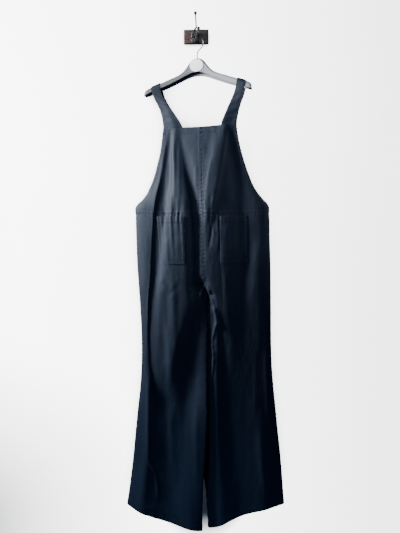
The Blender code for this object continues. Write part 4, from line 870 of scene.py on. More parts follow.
def strap_grid(side, widths, fall_rows, round_steps):
    """The middle of a strap: up from the front bib, over the hanger's arm and down to the back bib."""
    columns = []
    for w in widths:
        reach = STRAP_REACH[side] - side * STRAP_WIDTH * (0.5 - w)
        spot, forward = arm_place(reach)
        half = arm_value("depth", reach) / 2
        radius = half + STRAP_CLEARANCE + STRAP_CLOTH / 2
        centre_z = arm_value("top", reach) - half
        start = STRAP_COLUMN[side]
        u = start + (1 - start) * w
        foot = {}
        for layer in (FRONT, BACK):
            z = float(neck_height(side, layer, np.array(u)))
            foot[layer] = cloth_point(side, layer, u, z) + np.array([0, 0, SEAM_GAP / 2])
        over = []
        for k in range(round_steps + 1):
            angle = math.pi * k / round_steps
            flat = spot + forward * radius * math.cos(angle)
            over.append(np.array([flat[0], flat[1], centre_z + radius * math.sin(angle)]))
        low = arm_value("back_low", reach) - STRAP_BEND
        column = [fall(foot[FRONT], over[0], low, radius, k / fall_rows, w) for k in range(fall_rows)]
        column.extend(over)
        column.extend(fall(foot[BACK], over[-1], low, -radius, k / fall_rows, w) for k in range(fall_rows - 1, -1, -1))
        columns.append(column)
    return np.array(columns).transpose(1, 0, 2)


def make_strap(side, material):
    """A strap of doubled cloth, with a raised sewn edge on both sides and soft creases along it."""
    widths = np.array([0, 0.015, 0.04, 0.07, 0.11, 0.18, 0.26, 0.34, 0.42, 0.50, 0.58, 0.66, 0.74, 0.82, 0.89, 0.93,
                       0.96, 0.985, 1.0])
    points = strap_grid(side, widths, 60, 16)
    turn = -side
    normals = outward(points, turn)
    from_inner = lengths(points, 1)
    from_outer = from_inner[:, -1:] - from_inner
    run = lengths(points, 0)
    near = np.minimum(from_inner, from_outer)
    total = run[-1:]
    ends = ease(np.minimum(run, total - run) / 0.03)
    on_arm = np.exp(-(((run - total / 2) / 0.040) ** 2))
    height = 0.00055 * crumple(from_inner, run, 0.012, 0.060, 81 + side)
    height = height + 0.0006 * np.sin(2 * math.pi * run / 0.031 + 2 * np.sin(run / 0.05)) * (1 - on_arm) * np.sin(
        math.pi * from_inner / (from_inner + from_outer)) * ends
    height = height + 0.0004 * (1 - ease((near - 0.0022) / 0.0012)) - 0.0006 * np.clip(1 - near / 0.0012, 0, 1) ** 2
    height = height * (1 - 0.7 * on_arm) + 0.0003 * on_arm
    middle = points + normals * height[..., None]
    name = "strap_" + NAMES[side]
    rows = {"inner": from_inner, "outer": from_outer, "top": run, "bottom": total - run}
    surfaces[name] = Surface(middle + outward(middle, turn) * STRAP_CLOTH / 2, outward(middle, turn), rows)
    wear = 0.3 * np.exp(-near / 0.002) + 0.05 * on_arm
    piece = grid_piece(name + "_cloth", *faces_out(middle, turn, wear))
    finish_cloth(piece, material, STRAP_CLOTH)
    on_frame(piece, "navy_cloth", name)


# Topstitching

def seam_line(surface, edge, distance, keep=None):
    """A line on a surface at a distance from one of its edges, as points and normals."""
    away = surface.rows[edge]
    lines = []
    if edge in ("inner", "outer"):
        for row in range(away.shape[0]):
            order = np.argsort(away[row])
            if away[row].max() < distance:
                continue
            both = np.concatenate([surface.points[row], surface.normals[row]], axis=-1)
            lines.append([np.interp(distance, away[row][order], both[order, k]) for k in range(6)])
    else:
        for column in range(away.shape[1]):
            order = np.argsort(away[:, column])
            both = np.concatenate([surface.points[:, column], surface.normals[:, column]], axis=-1)
            lines.append([np.interp(distance, away[:, column][order], both[order, k]) for k in range(6)])
    line = np.array(lines)
    if keep is not None:
        line = line[keep(line[:, 0] - CENTRE_X, line[:, 2])]
    return line


def stitch_places(line):
    """Evenly spaced stitches along a line: their middles, directions and normals."""
    run = lengths(line[None, :, :3], 1)[0]
    at = np.arange(STITCH_PITCH / 2, run[-1], STITCH_PITCH)
    both = np.stack([np.interp(at, run, line[:, k]) for k in range(6)], axis=-1)
    ahead = np.stack([np.interp(at + 0.0008, run, line[:, k]) for k in range(3)], axis=-1)
    behind = np.stack([np.interp(at - 0.0008, run, line[:, k]) for k in range(3)], axis=-1)
    return both[:, :3], ahead - behind, both[:, 3:]


def make_stitching(name, lines, material):
    """One stitch, a stretched bead of thread, copied along the lines and joined."""
    bpy.ops.object.select_all(action="DESELECT")
    bpy.ops.mesh.primitive_ico_sphere_add(subdivisions=1, radius=0.5)
    stitch = bpy.context.object
    bead = np.array([v.co for v in stitch.data.vertices]) * np.array(STITCH_SIZE)
    corners = np.array([p.vertices[:] for p in stitch.data.polygons])
    bpy.data.objects.remove(stitch)
    spots, ways, normals = (np.concatenate(group) for group in zip(*(stitch_places(line) for line in lines)))
    ways /= np.linalg.norm(ways, axis=-1, keepdims=True)
    sides = np.cross(normals, ways)
    sides /= np.linalg.norm(sides, axis=-1, keepdims=True)
    ups = np.cross(ways, sides)
    placed = (spots[:, None] + bead[None, :, 0:1] * ways[:, None] + bead[None, :, 1:2] * sides[:, None]
              + bead[None, :, 2:3] * ups[:, None])
    faces = corners[None] + (np.arange(len(spots)) * len(bead))[:, None, None]
    mesh = bpy.data.meshes.new(name)
    mesh.from_pydata(placed.reshape(-1, 3).tolist(), [], faces.reshape(-1, 3).tolist())
    mesh.shade_smooth()
    mesh.materials.append(material)
    piece = bpy.data.objects.new(name, mesh)
    bpy.context.scene.collection.objects.link(piece)
    on_frame(piece, "navy_cloth")


def sew_all(material):
    """Every row of topstitching, gathered by the piece that it holds."""
    for layer_name in ("front", "back"):
        lines = []
        for side in (LEFT, RIGHT):
            bib = surfaces[f"{layer_name}_bib_{NAMES[side]}"]
            above = lambda x, z: z > UNDERARM_Z + 0.006
            lines += [seam_line(bib, "top", d) for d in (0.0020, 0.0185)]
            lines += [seam_line(bib, "outer", d, above) for d in (0.0018, 0.0075)]
            lines += [seam_line(bib, "bottom", d) for d in (0.0018, 0.0075)]
            if side == LEFT:
                lines += [seam_line(bib, "inner", d) for d in (0.0018, 0.0075)]
        make_stitching(f"{layer_name}_bib_stitching", lines, material)
        lines = []
        for side in (LEFT, RIGHT):
            leg = surfaces[f"{layer_name}_leg_{NAMES[side]}"]
            lines.append(seam_line(leg, "bottom", 0.0185))
            lines.append(seam_line(leg, "outer", 0.0020 if layer_name == "back" else 0.0030))
            if side == LEFT:
                body = lambda x, z: z > CROTCH_Z + 0.01
                lines += [seam_line(leg, "inner", d, body) for d in (0.0018, 0.0075)]
        make_stitching(f"{layer_name}_leg_stitching", lines, material)
    for side in (LEFT, RIGHT):
        pocket = surfaces["pocket_" + NAMES[side]]
        lines = [seam_line(pocket, edge, d) for edge in ("inner", "outer", "bottom") for d in (0.0018, 0.0075)]
        lines += [seam_line(pocket, "top", d) for d in (0.0020, 0.0185)]
        make_stitching(f"pocket_{NAMES[side]}_stitching", lines, material)
        strap = surfaces["strap_" + NAMES[side]]
        lines = [seam_line(strap, edge, 0.0022) for edge in ("inner", "outer")]
        make_stitching(f"strap_{NAMES[side]}_stitching", lines, material)


# Hanger, disc and wire hook

def hanger_section(reach, steps=18):
    """The closed line round the hanger's wall: up its front, over the top, down its back and up inside."""
    spot, forward = arm_place(reach)
    top, front_low, back_low = (arm_value(name, reach) for name in ("top", "front_low", "back_low"))
    half = arm_value("depth", reach) / 2
    wall = min(HANGER_WALL, half * 0.6)
    inner_half = half - wall
    roof = min(top, front_low + CHANNEL_RISE) - CHANNEL_ROOF
    roof = max(min(roof, top - wall), min(front_low, roof) + 0.0005) if abs(reach) < ARM_LENGTH - SOLID_END else front_low
    roof = max(roof, front_low + 0.0008)
    line = [(half, front_low + 0.0006), (half + 0.0004, front_low + 0.0022), (half, front_low + 0.0042)]
    for k in range(steps + 1):
        angle = math.pi * k / steps
        line.append((half * math.cos(angle), top - half + half * math.sin(angle)))
    line += [(-half, back_low + 0.0042), (-half - 0.0004, back_low + 0.0022), (-half, back_low + 0.0006)]
    line += [(-half + 0.0006, back_low), (-inner_half - 0.0006, back_low), (-inner_half, back_low + 0.0006)]
    rise = min(inner_half, max(roof - front_low, 0.0005))
    for k in range(steps + 1):
        angle = math.pi * (1 - k / steps)
        line.append((inner_half * math.cos(angle), roof - rise + rise * math.sin(angle)))
    line += [(inner_half, front_low + 0.0006), (inner_half + 0.0006, front_low), (half - 0.0006, front_low)]
    ring = []
    for out, z in line:
        flat = spot + forward * out
        ring.append((flat[0], flat[1], z))
    return ring + ring[:1]


def close_ends(piece, angle):
    """Merges a swept grid's seam and the poles at its two ends, and shades it smooth."""
    activate(piece)
    bpy.ops.object.mode_set(mode="EDIT")
    bpy.ops.mesh.select_all(action="SELECT")
    bpy.ops.mesh.remove_doubles(threshold=0.00001)
    bpy.ops.mesh.normals_make_consistent(inside=False)
    bpy.ops.object.mode_set(mode="OBJECT")
    bpy.ops.object.shade_smooth_by_angle(angle=math.radians(angle))


def make_hanger(plastic):
    half = [(ARM_LENGTH - 0.0012) * math.sin(math.pi / 2 * k / 44) for k in range(45)]
    rings = [np.array(hanger_section(r)) for r in [-r for r in reversed(half[1:])] + half]
    for first, way in ((0, -1), (-1, 1)):
        middle = rings[first][:-1].mean(axis=0)
        along = np.array([math.cos(HANGER_TURN), -math.sin(HANGER_TURN), 0.0]) * way
        caps = [middle + (rings[first] - middle) * share + along * out
                for share, out in ((0.93, 0.0006), (0.75, 0.0010), (0.0, 0.0012))]
        rings = caps[::-1] + rings if first == 0 else rings + caps
    hanger = grid_piece("clothes_hanger", np.array(rings))
    hanger.data.materials.append(plastic)
    close_ends(hanger, 40)
    on_frame(hanger, "hanger_plastic", "hanger_body")


def make_disc(white):
    """The plain oval disc on the crown's face, with a rounded rim."""
    low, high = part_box("hanger_disc")
    middle = (low + high) / 2
    bpy.ops.object.select_all(action="DESELECT")
    bpy.ops.mesh.primitive_cylinder_add(vertices=96, radius=0.5, depth=1.0, end_fill_type="NGON")
    disc = bpy.context.object
    disc.name = disc.data.name = "plain_disc"
    bpy.ops.object.mode_set(mode="EDIT")
    bpy.ops.mesh.select_all(action="SELECT")
    bpy.ops.transform.resize(value=(DISC_WIDTH, DISC_HEIGHT, DISC_THICKNESS))
    bpy.ops.object.mode_set(mode="OBJECT")
    apply_modifier(disc, "BEVEL", width=0.0007, segments=4, limit_method="ANGLE", angle_limit=math.radians(60))
    turn = Matrix.Rotation(-HANGER_TURN, 4, "Z") @ Matrix.Rotation(math.radians(90), 4, "X")
    disc.data.transform(Matrix.Translation(middle) @ turn)
    disc.data.materials.append(white)
    activate(disc)
    bpy.ops.object.shade_smooth_by_angle(angle=math.radians(35))
    on_frame(disc, "disc_plastic", "hanger_disc")


DISC_WIDTH, DISC_HEIGHT, DISC_THICKNESS = 0.0445, 0.0380, 0.0020
WIRE = 0.0034
HOOK_RADIUS = 0.0235
HOOK_CENTRE_R, HOOK_CENTRE_Z = -0.0035, -0.0349
HOOK_FOOT_Z = -0.0807
HOOK_END = 150


def smooth_route(points, steps):
    """Points on a smooth curve through a few."""
    points = [Vector(p) for p in points]
    ends = [2 * points[0] - points[1]] + points + [2 * points[-1] - points[-2]]
    route = []
    for k in range(len(points) - 1):
        a, b, c, d = ends[k : k + 4]
        for n in range(steps):
            t = n / steps
            route.append(0.5 * (2 * b + (c - a) * t + (2 * a - 5 * b + 4 * c - d) * t**2
                                + (3 * b - a - 3 * c + d) * t**3))
    route.append(points[-1])
    return route


def rod(name, points, radii, material, sides=20):
    """A round rod along points, whose radius may change, with rounded ends."""
    points = [np.array(p, float) for p in points]
    rings = []
    side = None
    for k, p in enumerate(points):
        way = points[min(k + 1, len(points) - 1)] - points[max(k - 1, 0)]
        way /= np.linalg.norm(way)
        if side is None:
            side = np.cross(way, [0.3, 0.2, 0.9])
        side = side - way * (side @ way)
        side /= np.linalg.norm(side)
        up = np.cross(way, side)
        angles = 2 * math.pi * np.arange(sides + 1) / sides
        rings.append((p, way, side, up, angles, radii[k]))
    grid = []
    first, last = rings[0], rings[-1]

    def ring_of(ring, share, shift):
        p, way, side, up, angles, radius = ring
        round_part = np.cos(angles)[:, None] * side + np.sin(angles)[:, None] * up
        return p + way * shift + round_part * radius * share

    for share, shift in ((0.0, -0.42), (0.5, -0.34), (0.85, -0.14)):
        grid.append(ring_of(first, share, shift * first[5]))
    grid.extend(ring_of(ring, 1.0, 0.0) for ring in rings)
    for share, shift in ((0.85, 0.14), (0.5, 0.34), (0.0, 0.42)):
        grid.append(ring_of(last, share, shift * last[5]))
    piece = grid_piece(name, np.array(grid))
    piece.data.materials.append(material)
    close_ends(piece, 50)
    return piece


def make_wire_hook(steel):
    """The hanger's hook: straight up from the crown, out to the right and over to the left."""
    along = Vector((math.cos(HANGER_TURN), -math.sin(HANGER_TURN), 0))
    neck = Vector((NECK_X, NECK_Y, 0))
    flat = [(0.0, HOOK_FOOT_Z), (0.0, -0.0720), (0.0002, -0.0650), (0.0060, -0.0566), (0.0135, -0.0500)]
    turn = [math.radians(a) for a in range(-20, HOOK_END + 1, 15)]
    flat += [(HOOK_CENTRE_R + HOOK_RADIUS * math.cos(a), HOOK_CENTRE_Z + HOOK_RADIUS * math.sin(a)) for a in turn]
    route = smooth_route([neck + along * r + Vector((0, 0, z)) for r, z in flat], 5)
    hook = rod("wire_hook", route, [WIRE / 2] * len(route), steel)
    on_frame(hook, "hook_wire", "hanger_hook")


# Materials

def new_material(name, colour, roughness, metallic=0.0):
    material = bpy.data.materials.new(name)
    material.use_nodes = True
    nodes = material.node_tree.nodes
    shader = nodes["Principled BSDF"]
    shader.inputs["Base Color"].default_value = (*colour, 1.0)
    shader.inputs["Roughness"].default_value = roughness
    shader.inputs["Metallic"].default_value = metallic
    return material, nodes, material.node_tree.links, shader


def noise(nodes, links, coordinates, scale, detail=3.0, roughness=0.55, stretch=None):
    """A noise over coordinates, stretched where the grain runs."""
    texture = nodes.new("ShaderNodeTexNoise")
    texture.inputs["Scale"].default_value = scale
    texture.inputs["Detail"].default_value = detail
    texture.inputs["Roughness"].default_value = roughness
    if stretch:
        mapping = nodes.new("ShaderNodeMapping")
        mapping.inputs["Scale"].default_value = stretch
        links.new(coordinates, mapping.inputs["Vector"])
        coordinates = mapping.outputs["Vector"]
    links.new(coordinates, texture.inputs["Vector"])
    return texture.outputs["Fac"]


def between(nodes, links, factor, low, high, from_low=0.0, from_high=1.0):
    """A number between two, after a factor."""
    spread = nodes.new("ShaderNodeMapRange")
    spread.inputs["From Min"].default_value = from_low
    spread.inputs["From Max"].default_value = from_high
    spread.inputs["To Min"].default_value = low
    spread.inputs["To Max"].default_value = high
    links.new(factor, spread.inputs["Value"])
    return spread.outputs["Result"]


def colours(nodes, links, factor, stops):
    ramp = nodes.new("ShaderNodeValToRGB")
    while len(ramp.color_ramp.elements) < len(stops):
        ramp.color_ramp.elements.new(0.5)
    for element, (place, colour) in zip(ramp.color_ramp.elements, stops):
        element.position = place
        element.color = (*colour, 1.0)
    links.new(factor, ramp.inputs["Fac"])
    return ramp.outputs["Color"]


def mixed(nodes, links, factor, first, second, blend="MIX"):
    mix = nodes.new("ShaderNodeMix")
    mix.data_type = "RGBA"
    mix.blend_type = blend
    for value, socket in ((factor, mix.inputs[0]), (first, mix.inputs[6]), (second, mix.inputs[7])):
        if isinstance(value, (int, float)):
            socket.default_value = value
        elif isinstance(value, tuple):
            socket.default_value = (*value, 1.0)
        else:
            links.new(value, socket)
    return mix.outputs[2]


def bumped(nodes, links, height, strength, distance, before=None):
    bump = nodes.new("ShaderNodeBump")
    bump.inputs["Strength"].default_value = strength
    bump.inputs["Distance"].default_value = distance
    links.new(height, bump.inputs["Height"])
    if before is not None:
        links.new(before, bump.inputs["Normal"])
    return bump.outputs["Normal"]


def navy_twill():
    """Dark navy cotton: a fine diagonal weave, slubs along the yarn, paler where it is rubbed, a soft sheen."""
    material, nodes, links, shader = new_material("navy_twill", (0.020, 0.026, 0.038), 0.62)
    cloth_map = nodes.new("ShaderNodeUVMap")
    cloth_map.uv_map = "cloth_metres"
    place = nodes.new("ShaderNodeTexCoord").outputs["Object"]
    uv = cloth_map.outputs["UV"]
    twill = nodes.new("ShaderNodeTexWave")
    twill.bands_direction = "X"
    twill.inputs["Scale"].default_value = 0.314 / 0.0010
    twill.inputs["Distortion"].default_value = 0.6
    twill.inputs["Detail"].default_value = 1.0
    lean = nodes.new("ShaderNodeMapping")
    lean.inputs["Rotation"].default_value = (0, 0, math.radians(27))
    links.new(uv, lean.inputs["Vector"])
    links.new(lean.outputs["Vector"], twill.inputs["Vector"])
    yarn = noise(nodes, links, uv, 1.0, 2.0, 0.6, (900, 160, 1))
    weft = noise(nodes, links, uv, 1.0, 2.0, 0.6, (140, 800, 1))
    patches = noise(nodes, links, place, 7.0, 4.0, 0.55)
    streaks = noise(nodes, links, uv, 1.0, 3.0, 0.5, (60, 7, 1))
    base = colours(nodes, links, patches, [(0.30, (0.0095, 0.0155, 0.0290)), (0.70, (0.0150, 0.0225, 0.0390))])
    base = mixed(nodes, links, between(nodes, links, yarn, 0.0, 0.40, 0.35, 0.75), base, (0.024, 0.034, 0.054))
    base = mixed(nodes, links, between(nodes, links, streaks, 0.0, 0.25, 0.45, 0.75), base, (0.022, 0.031, 0.048))
    wear = nodes.new("ShaderNodeAttribute")
    wear.attribute_name = "wear"
    rubbed = nodes.new("ShaderNodeMath")
    rubbed.operation = "MULTIPLY"
    links.new(wear.outputs["Fac"], rubbed.inputs[0])
    links.new(between(nodes, links, weft, 0.10, 0.55, 0.3, 0.7), rubbed.inputs[1])
    base = mixed(nodes, links, rubbed.outputs["Value"], base, (0.038, 0.050, 0.074))
    links.new(base, shader.inputs["Base Color"])
    links.new(between(nodes, links, streaks, 0.56, 0.70), shader.inputs["Roughness"])
    normal = bumped(nodes, links, noise(nodes, links, place, 70.0, 3.0, 0.5), 0.25, 0.0010)
    normal = bumped(nodes, links, yarn, 0.25, 0.0002, normal)
    normal = bumped(nodes, links, weft, 0.20, 0.0002, normal)
    normal = bumped(nodes, links, twill.outputs["Fac"], 0.30, 0.00018, normal)
    links.new(normal, shader.inputs["Normal"])
    shader.inputs["Sheen Weight"].default_value = 0.05
    shader.inputs["Sheen Roughness"].default_value = 0.45
    shader.inputs["Sheen Tint"].default_value = (0.72, 0.82, 1.0, 1.0)
    shader.inputs["Specular IOR Level"].default_value = 0.22
    return material


def navy_thread():
    material, nodes, links, shader = new_material("navy_thread", (0.016, 0.023, 0.038), 0.60)
    place = nodes.new("ShaderNodeTexCoord").outputs["Object"]
    ply = noise(nodes, links, place, 900.0, 2.0)
    shade = noise(nodes, links, place, 40.0, 2.0)
    links.new(colours(nodes, links, shade, [(0.3, (0.012, 0.018, 0.032)), (0.7, (0.022, 0.030, 0.046))]),
              shader.inputs["Base Color"])
    links.new(bumped(nodes, links, ply, 0.5, 0.0001), shader.inputs["Normal"])
    links.new(between(nodes, links, ply, 0.40, 0.60), shader.inputs["Roughness"])
    return material


def hanger_plastic():
    """Grey moulded plastic, a little uneven in tone, with fine scratches and a painted highlight that turns the right
    arm much lighter.
    """
    material, nodes, links, shader = new_material("hanger_plastic", (0.30, 0.30, 0.305), 0.42)
    place = nodes.new("ShaderNodeTexCoord").outputs["Object"]
    tone = noise(nodes, links, place, 18.0, 4.0)
    scratches = noise(nodes, links, place, 1.0, 4.0, 0.6, (40, 700, 900))
    grain = noise(nodes, links, place, 900.0, 2.0)
    base = colours(nodes, links, tone, [(0.3, (0.105, 0.107, 0.113)), (0.7, (0.150, 0.152, 0.158))])
    # painted highlight: the plastic is mixed much lighter towards the right arm
    place_x = nodes.new("ShaderNodeSeparateXYZ")
    links.new(place, place_x.inputs[0])
    painted_highlight_right_arm = between(nodes, links, place_x.outputs["X"], 0.0, 0.85, -0.030, 0.035)
    base = mixed(nodes, links, painted_highlight_right_arm, base, (0.52, 0.52, 0.53))
    base = mixed(nodes, links, between(nodes, links, scratches, 0.0, 0.20, 0.55, 0.75), base, (0.24, 0.24, 0.245))
    links.new(base, shader.inputs["Base Color"])
    links.new(between(nodes, links, tone, 0.34, 0.52), shader.inputs["Roughness"])
    normal = bumped(nodes, links, grain, 0.08, 0.0002)
    links.new(bumped(nodes, links, scratches, 0.10, 0.0002, normal), shader.inputs["Normal"])
    return material


def disc_plastic():
    material, nodes, links, shader = new_material("disc_plastic", (0.80, 0.80, 0.80), 0.30)
    place = nodes.new("ShaderNodeTexCoord").outputs["Object"]
    tone = noise(nodes, links, place, 60.0, 3.0)
    specks = noise(nodes, links, place, 420.0, 2.0)
    # painted light: the disc glows with its own emission so that it stays white
    shader.inputs["Emission Color"].default_value = (1.0, 1.0, 1.0, 1.0)
    shader.inputs["Emission Strength"].default_value = 1.1
    base = colours(nodes, links, tone, [(0.3, (0.80, 0.80, 0.79)), (0.7, (0.88, 0.88, 0.88))])
    links.new(mixed(nodes, links, between(nodes, links, specks, 0.0, 0.2, 0.66, 0.8), base, (0.5, 0.5, 0.48)),
              shader.inputs["Base Color"])
    links.new(between(nodes, links, tone, 0.24, 0.38), shader.inputs["Roughness"])
    links.new(bumped(nodes, links, tone, 0.05, 0.0003), shader.inputs["Normal"])
    return material


def zinc_wire():
    material, nodes, links, shader = new_material("zinc_wire", (0.40, 0.39, 0.37), 0.34, 1.0)
    place = nodes.new("ShaderNodeTexCoord").outputs["Object"]
    tone = noise(nodes, links, place, 120.0, 4.0)
    links.new(colours(nodes, links, tone, [(0.35, (0.045, 0.043, 0.041)), (0.65, (0.115, 0.112, 0.108))]),
              shader.inputs["Base Color"])
    links.new(between(nodes, links, tone, 0.26, 0.50), shader.inputs["Roughness"])
    links.new(bumped(nodes, links, noise(nodes, links, place, 600.0, 2.0), 0.10, 0.0001), shader.inputs["Normal"])
    return material


def worn_iron():
    """Dark iron with a worn, slightly pitted skin and brighter rubbed places."""
    material, nodes, links, shader = new_material("worn_iron", (0.06, 0.055, 0.05), 0.5, 0.35)
    place = nodes.new("ShaderNodeTexCoord").outputs["Object"]
    tone = noise(nodes, links, place, 150.0, 5.0, 0.6)
    pits = noise(nodes, links, place, 700.0, 3.0)
    base = colours(nodes, links, tone, [(0.30, (0.055, 0.052, 0.052)), (0.60, (0.150, 0.147, 0.147)),
                                        (0.85, (0.42, 0.415, 0.41))])
    links.new(base, shader.inputs["Base Color"])
    links.new(between(nodes, links, tone, 0.62, 0.34), shader.inputs["Roughness"])
    normal = bumped(nodes, links, tone, 0.25, 0.0005)
    links.new(bumped(nodes, links, pits, 0.35, 0.0002, normal), shader.inputs["Normal"])
    return material


def old_wood():
    """Reddish-brown old wood, its grain along the block, knocked pale in patches, with a painted shade that darkens
    its right end.
    """
    material, nodes, links, shader = new_material("old_wood", (0.10, 0.055, 0.045), 0.7)
    place = nodes.new("ShaderNodeTexCoord").outputs["Object"]
    grain = noise(nodes, links, place, 1.0, 5.0, 0.65, (26, 260, 420))
    fine = noise(nodes, links, place, 1.0, 3.0, 0.6, (90, 900, 1400))
    patch = noise(nodes, links, place, 45.0, 4.0, 0.6)
    base = colours(nodes, links, grain, [(0.28, (0.055, 0.032, 0.027)), (0.52, (0.170, 0.098, 0.082)),
                                         (0.78, (0.300, 0.190, 0.165))])
    base = mixed(nodes, links, between(nodes, links, patch, 0.0, 0.55, 0.45, 0.75), base, (0.200, 0.160, 0.158))
    base = mixed(nodes, links, between(nodes, links, fine, 0.0, 0.4, 0.5, 0.8), base, (0.035, 0.022, 0.020))
    # painted shade: the block's right end is mixed dark, as if in shadow
    place_x = nodes.new("ShaderNodeSeparateXYZ")
    links.new(place, place_x.inputs[0])
    painted_shade_right_end = between(nodes, links, place_x.outputs["X"], 0.0, 0.75, 0.004, 0.014)
    base = mixed(nodes, links, painted_shade_right_end, base, (0.050, 0.043, 0.050))
    links.new(base, shader.inputs["Base Color"])
    links.new(between(nodes, links, patch, 0.60, 0.82), shader.inputs["Roughness"])
    normal = bumped(nodes, links, grain, 0.6, 0.0006)
    links.new(bumped(nodes, links, fine, 0.4, 0.0003, normal), shader.inputs["Normal"])
    return material


# Wall block, iron hook and screws

BLOCK_LEDGE_Z = -0.0090


def make_block(wood):
    """The wooden block: worn round edges, a shallow step near its foot and small knocks."""
    low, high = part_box("wall_block")
    size = high - low
    bpy.ops.object.select_all(action="DESELECT")
    bpy.ops.mesh.primitive_cube_add(size=1.0)
    block = bpy.context.object
    block.name = block.data.name = "wooden_block"
    block.data.transform(Matrix.Translation((low + high) / 2) @ Matrix.Diagonal((*size, 1)))
    bpy.ops.object.mode_set(mode="EDIT")
    bpy.ops.mesh.select_all(action="SELECT")
    bpy.ops.mesh.bisect(plane_co=(0, 0, BLOCK_LEDGE_Z), plane_no=(0, 0, 1))
    bpy.ops.mesh.select_all(action="SELECT")
    bpy.ops.mesh.bisect(plane_co=(0, 0, BLOCK_LEDGE_Z - 0.0012), plane_no=(0, 0, 1))
    bpy.ops.object.mode_set(mode="OBJECT")
    for vertex in block.data.vertices:
        if vertex.co.y < low.y + 0.0005 and vertex.co.z < BLOCK_LEDGE_Z - 0.0006:
            vertex.co.y += 0.0009
    apply_modifier(block, "BEVEL", width=0.0016, segments=3, limit_method="ANGLE", angle_limit=math.radians(50))
    activate(block)
    bpy.ops.object.mode_set(mode="EDIT")
    bpy.ops.mesh.select_all(action="SELECT")
    bpy.ops.mesh.quads_convert_to_tris()
    bpy.ops.mesh.subdivide(number_cuts=4)
    bpy.ops.object.mode_set(mode="OBJECT")
    middle = (low + high) / 2
    for vertex in block.data.vertices:
        p = vertex.co
        if p.y > high.y - 0.0008:
            continue
        rough = crumple(np.array(p.x + p.y), np.array(p.z), 0.009, 0.006, 91) * 0.00030
        rough += crumple(np.array(p.x), np.array(p.z + p.y), 0.030, 0.0022, 92) * 0.00016
        way = Vector(((p.x - middle.x) / size.x, (p.y - high.y) / size.y, (p.z - middle.z) / size.z))
        vertex.co = p + way.normalized() * (float(rough) - 0.0003)
    block.data.materials.append(wood)
    activate(block)
    bpy.ops.object.shade_smooth_by_angle(angle=math.radians(40))
    on_frame(block, "block_wood", "wall_block")


PLATE_X, PLATE_Z = -0.0050, -0.0040
PLATE_SIZE = Vector((0.0220, 0.0030, 0.0300))
UPPER_TIP = Vector((-0.0017, -0.0850, 0.0531))
LOWER_TIP = Vector((0.0075, -0.0920, 0.0050))
SEAT = Vector((-0.0005, -0.0688, -0.0136))
PRONG = 0.0050
KNOB_RADIUS = 0.0052
BLOCK_FRONT_Y = -0.0180


def make_knob(name, tip, way, iron):
    """A turned knob: a ball with a flat crown and a collar under it."""
    bpy.ops.object.select_all(action="DESELECT")
    bpy.ops.mesh.primitive_uv_sphere_add(segments=32, ring_count=20, radius=KNOB_RADIUS)
    knob = bpy.context.object
    knob.name = knob.data.name = name
    for vertex in knob.data.vertices:
        vertex.co.z = min(vertex.co.z, KNOB_RADIUS * 0.80)
        if vertex.co.z < -KNOB_RADIUS * 0.55:
            vertex.co.x *= 1.12
            vertex.co.y *= 1.12
    turn = Vector(way).to_track_quat("Z", "Y").to_matrix().to_4x4()
    knob.data.transform(Matrix.Translation(tip) @ turn)
    knob.data.materials.append(iron)
    activate(knob)
    bpy.ops.object.shade_smooth_by_angle(angle=math.radians(45))
    return knob


def make_wall_hook(iron):
    """The iron hook: a plate with rounded edges, a long upper prong and a short lower one, with knobs."""
    plate_y = BLOCK_FRONT_Y - SEAM_GAP - PLATE_SIZE.y / 2
    bpy.ops.object.select_all(action="DESELECT")
    bpy.ops.mesh.primitive_cube_add(size=1.0)
    plate = bpy.context.object
    plate.name = plate.data.name = "iron_hook"
    plate.data.transform(Matrix.Translation((PLATE_X, plate_y, PLATE_Z)) @ Matrix.Diagonal((*PLATE_SIZE, 1)))
    apply_modifier(plate, "BEVEL", width=0.0011, segments=3, affect="EDGES")
    plate.data.materials.append(iron)
    activate(plate)
    bpy.ops.object.shade_smooth_by_angle(angle=math.radians(45))
    upper = smooth_route([(-0.0105, plate_y, -0.0040), (-0.0108, -0.0300, 0.0040), (-0.0060, -0.0400, 0.0135),
                          (0.0003, -0.0520, 0.0195), (-0.0001, -0.0620, 0.0270), UPPER_TIP], 8)
    lower = smooth_route([(-0.0020, plate_y, -0.0130), (-0.0015, -0.0330, -0.0150), (-0.0010, -0.0520, -0.0170),
                          SEAT - Vector((0, 0, PRONG / 2)), (0.0030, -0.0830, -0.0090), LOWER_TIP], 8)
    pieces = []
    for name, route in (("upper_prong", upper), ("lower_prong", lower)):
        share = np.linspace(0, 1, len(route))
        radii = PRONG / 2 * (1.20 - 0.32 * share)
        pieces.append(rod(name, route, radii, iron))
        pieces.append(make_knob(name + "_knob", route[-1], route[-1] - route[-4], iron))
    bpy.ops.object.select_all(action="DESELECT")
    for piece in [plate] + pieces:
        piece.select_set(True)
    bpy.context.view_layer.objects.active = plate
    bpy.ops.object.join()
    on_frame(plate, "hook_iron", "wall_hook")


def make_screws(iron):
    """Round slotted screw heads."""
    for node in ("screw_upper", "screw_lower"):
        low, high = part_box(node)
        middle, radius = (low + high) / 2, (high.x - low.x) / 2
        bpy.ops.object.select_all(action="DESELECT")
        bpy.ops.mesh.primitive_uv_sphere_add(segments=48, ring_count=24, radius=radius)
        screw = bpy.context.object
        screw.name = screw.data.name = node + "_head"
        height = high.y - low.y
        for vertex in screw.data.vertices:
            x, y, z = vertex.co / radius
            dome = max(z, 0.0)
            slot = abs(x * 0.8 + y * 0.6) < 0.13
            top = dome * 0.9 - (0.45 if slot and dome > 0.25 else 0.0)
            vertex.co = Vector((x * radius, -height * top + height / 2, y * radius))
        screw.data.transform(Matrix.Translation(middle))
        screw.data.materials.append(iron)
        activate(screw)
        bpy.ops.object.mode_set(mode="EDIT")
        bpy.ops.mesh.select_all(action="SELECT")
        bpy.ops.mesh.normals_make_consistent(inside=False)
        bpy.ops.object.mode_set(mode="OBJECT")
        bpy.ops.object.shade_smooth_by_angle(angle=math.radians(40))
        on_frame(screw, "hook_iron", node)


# Studio: a white wall behind, a pale floor below and soft lights

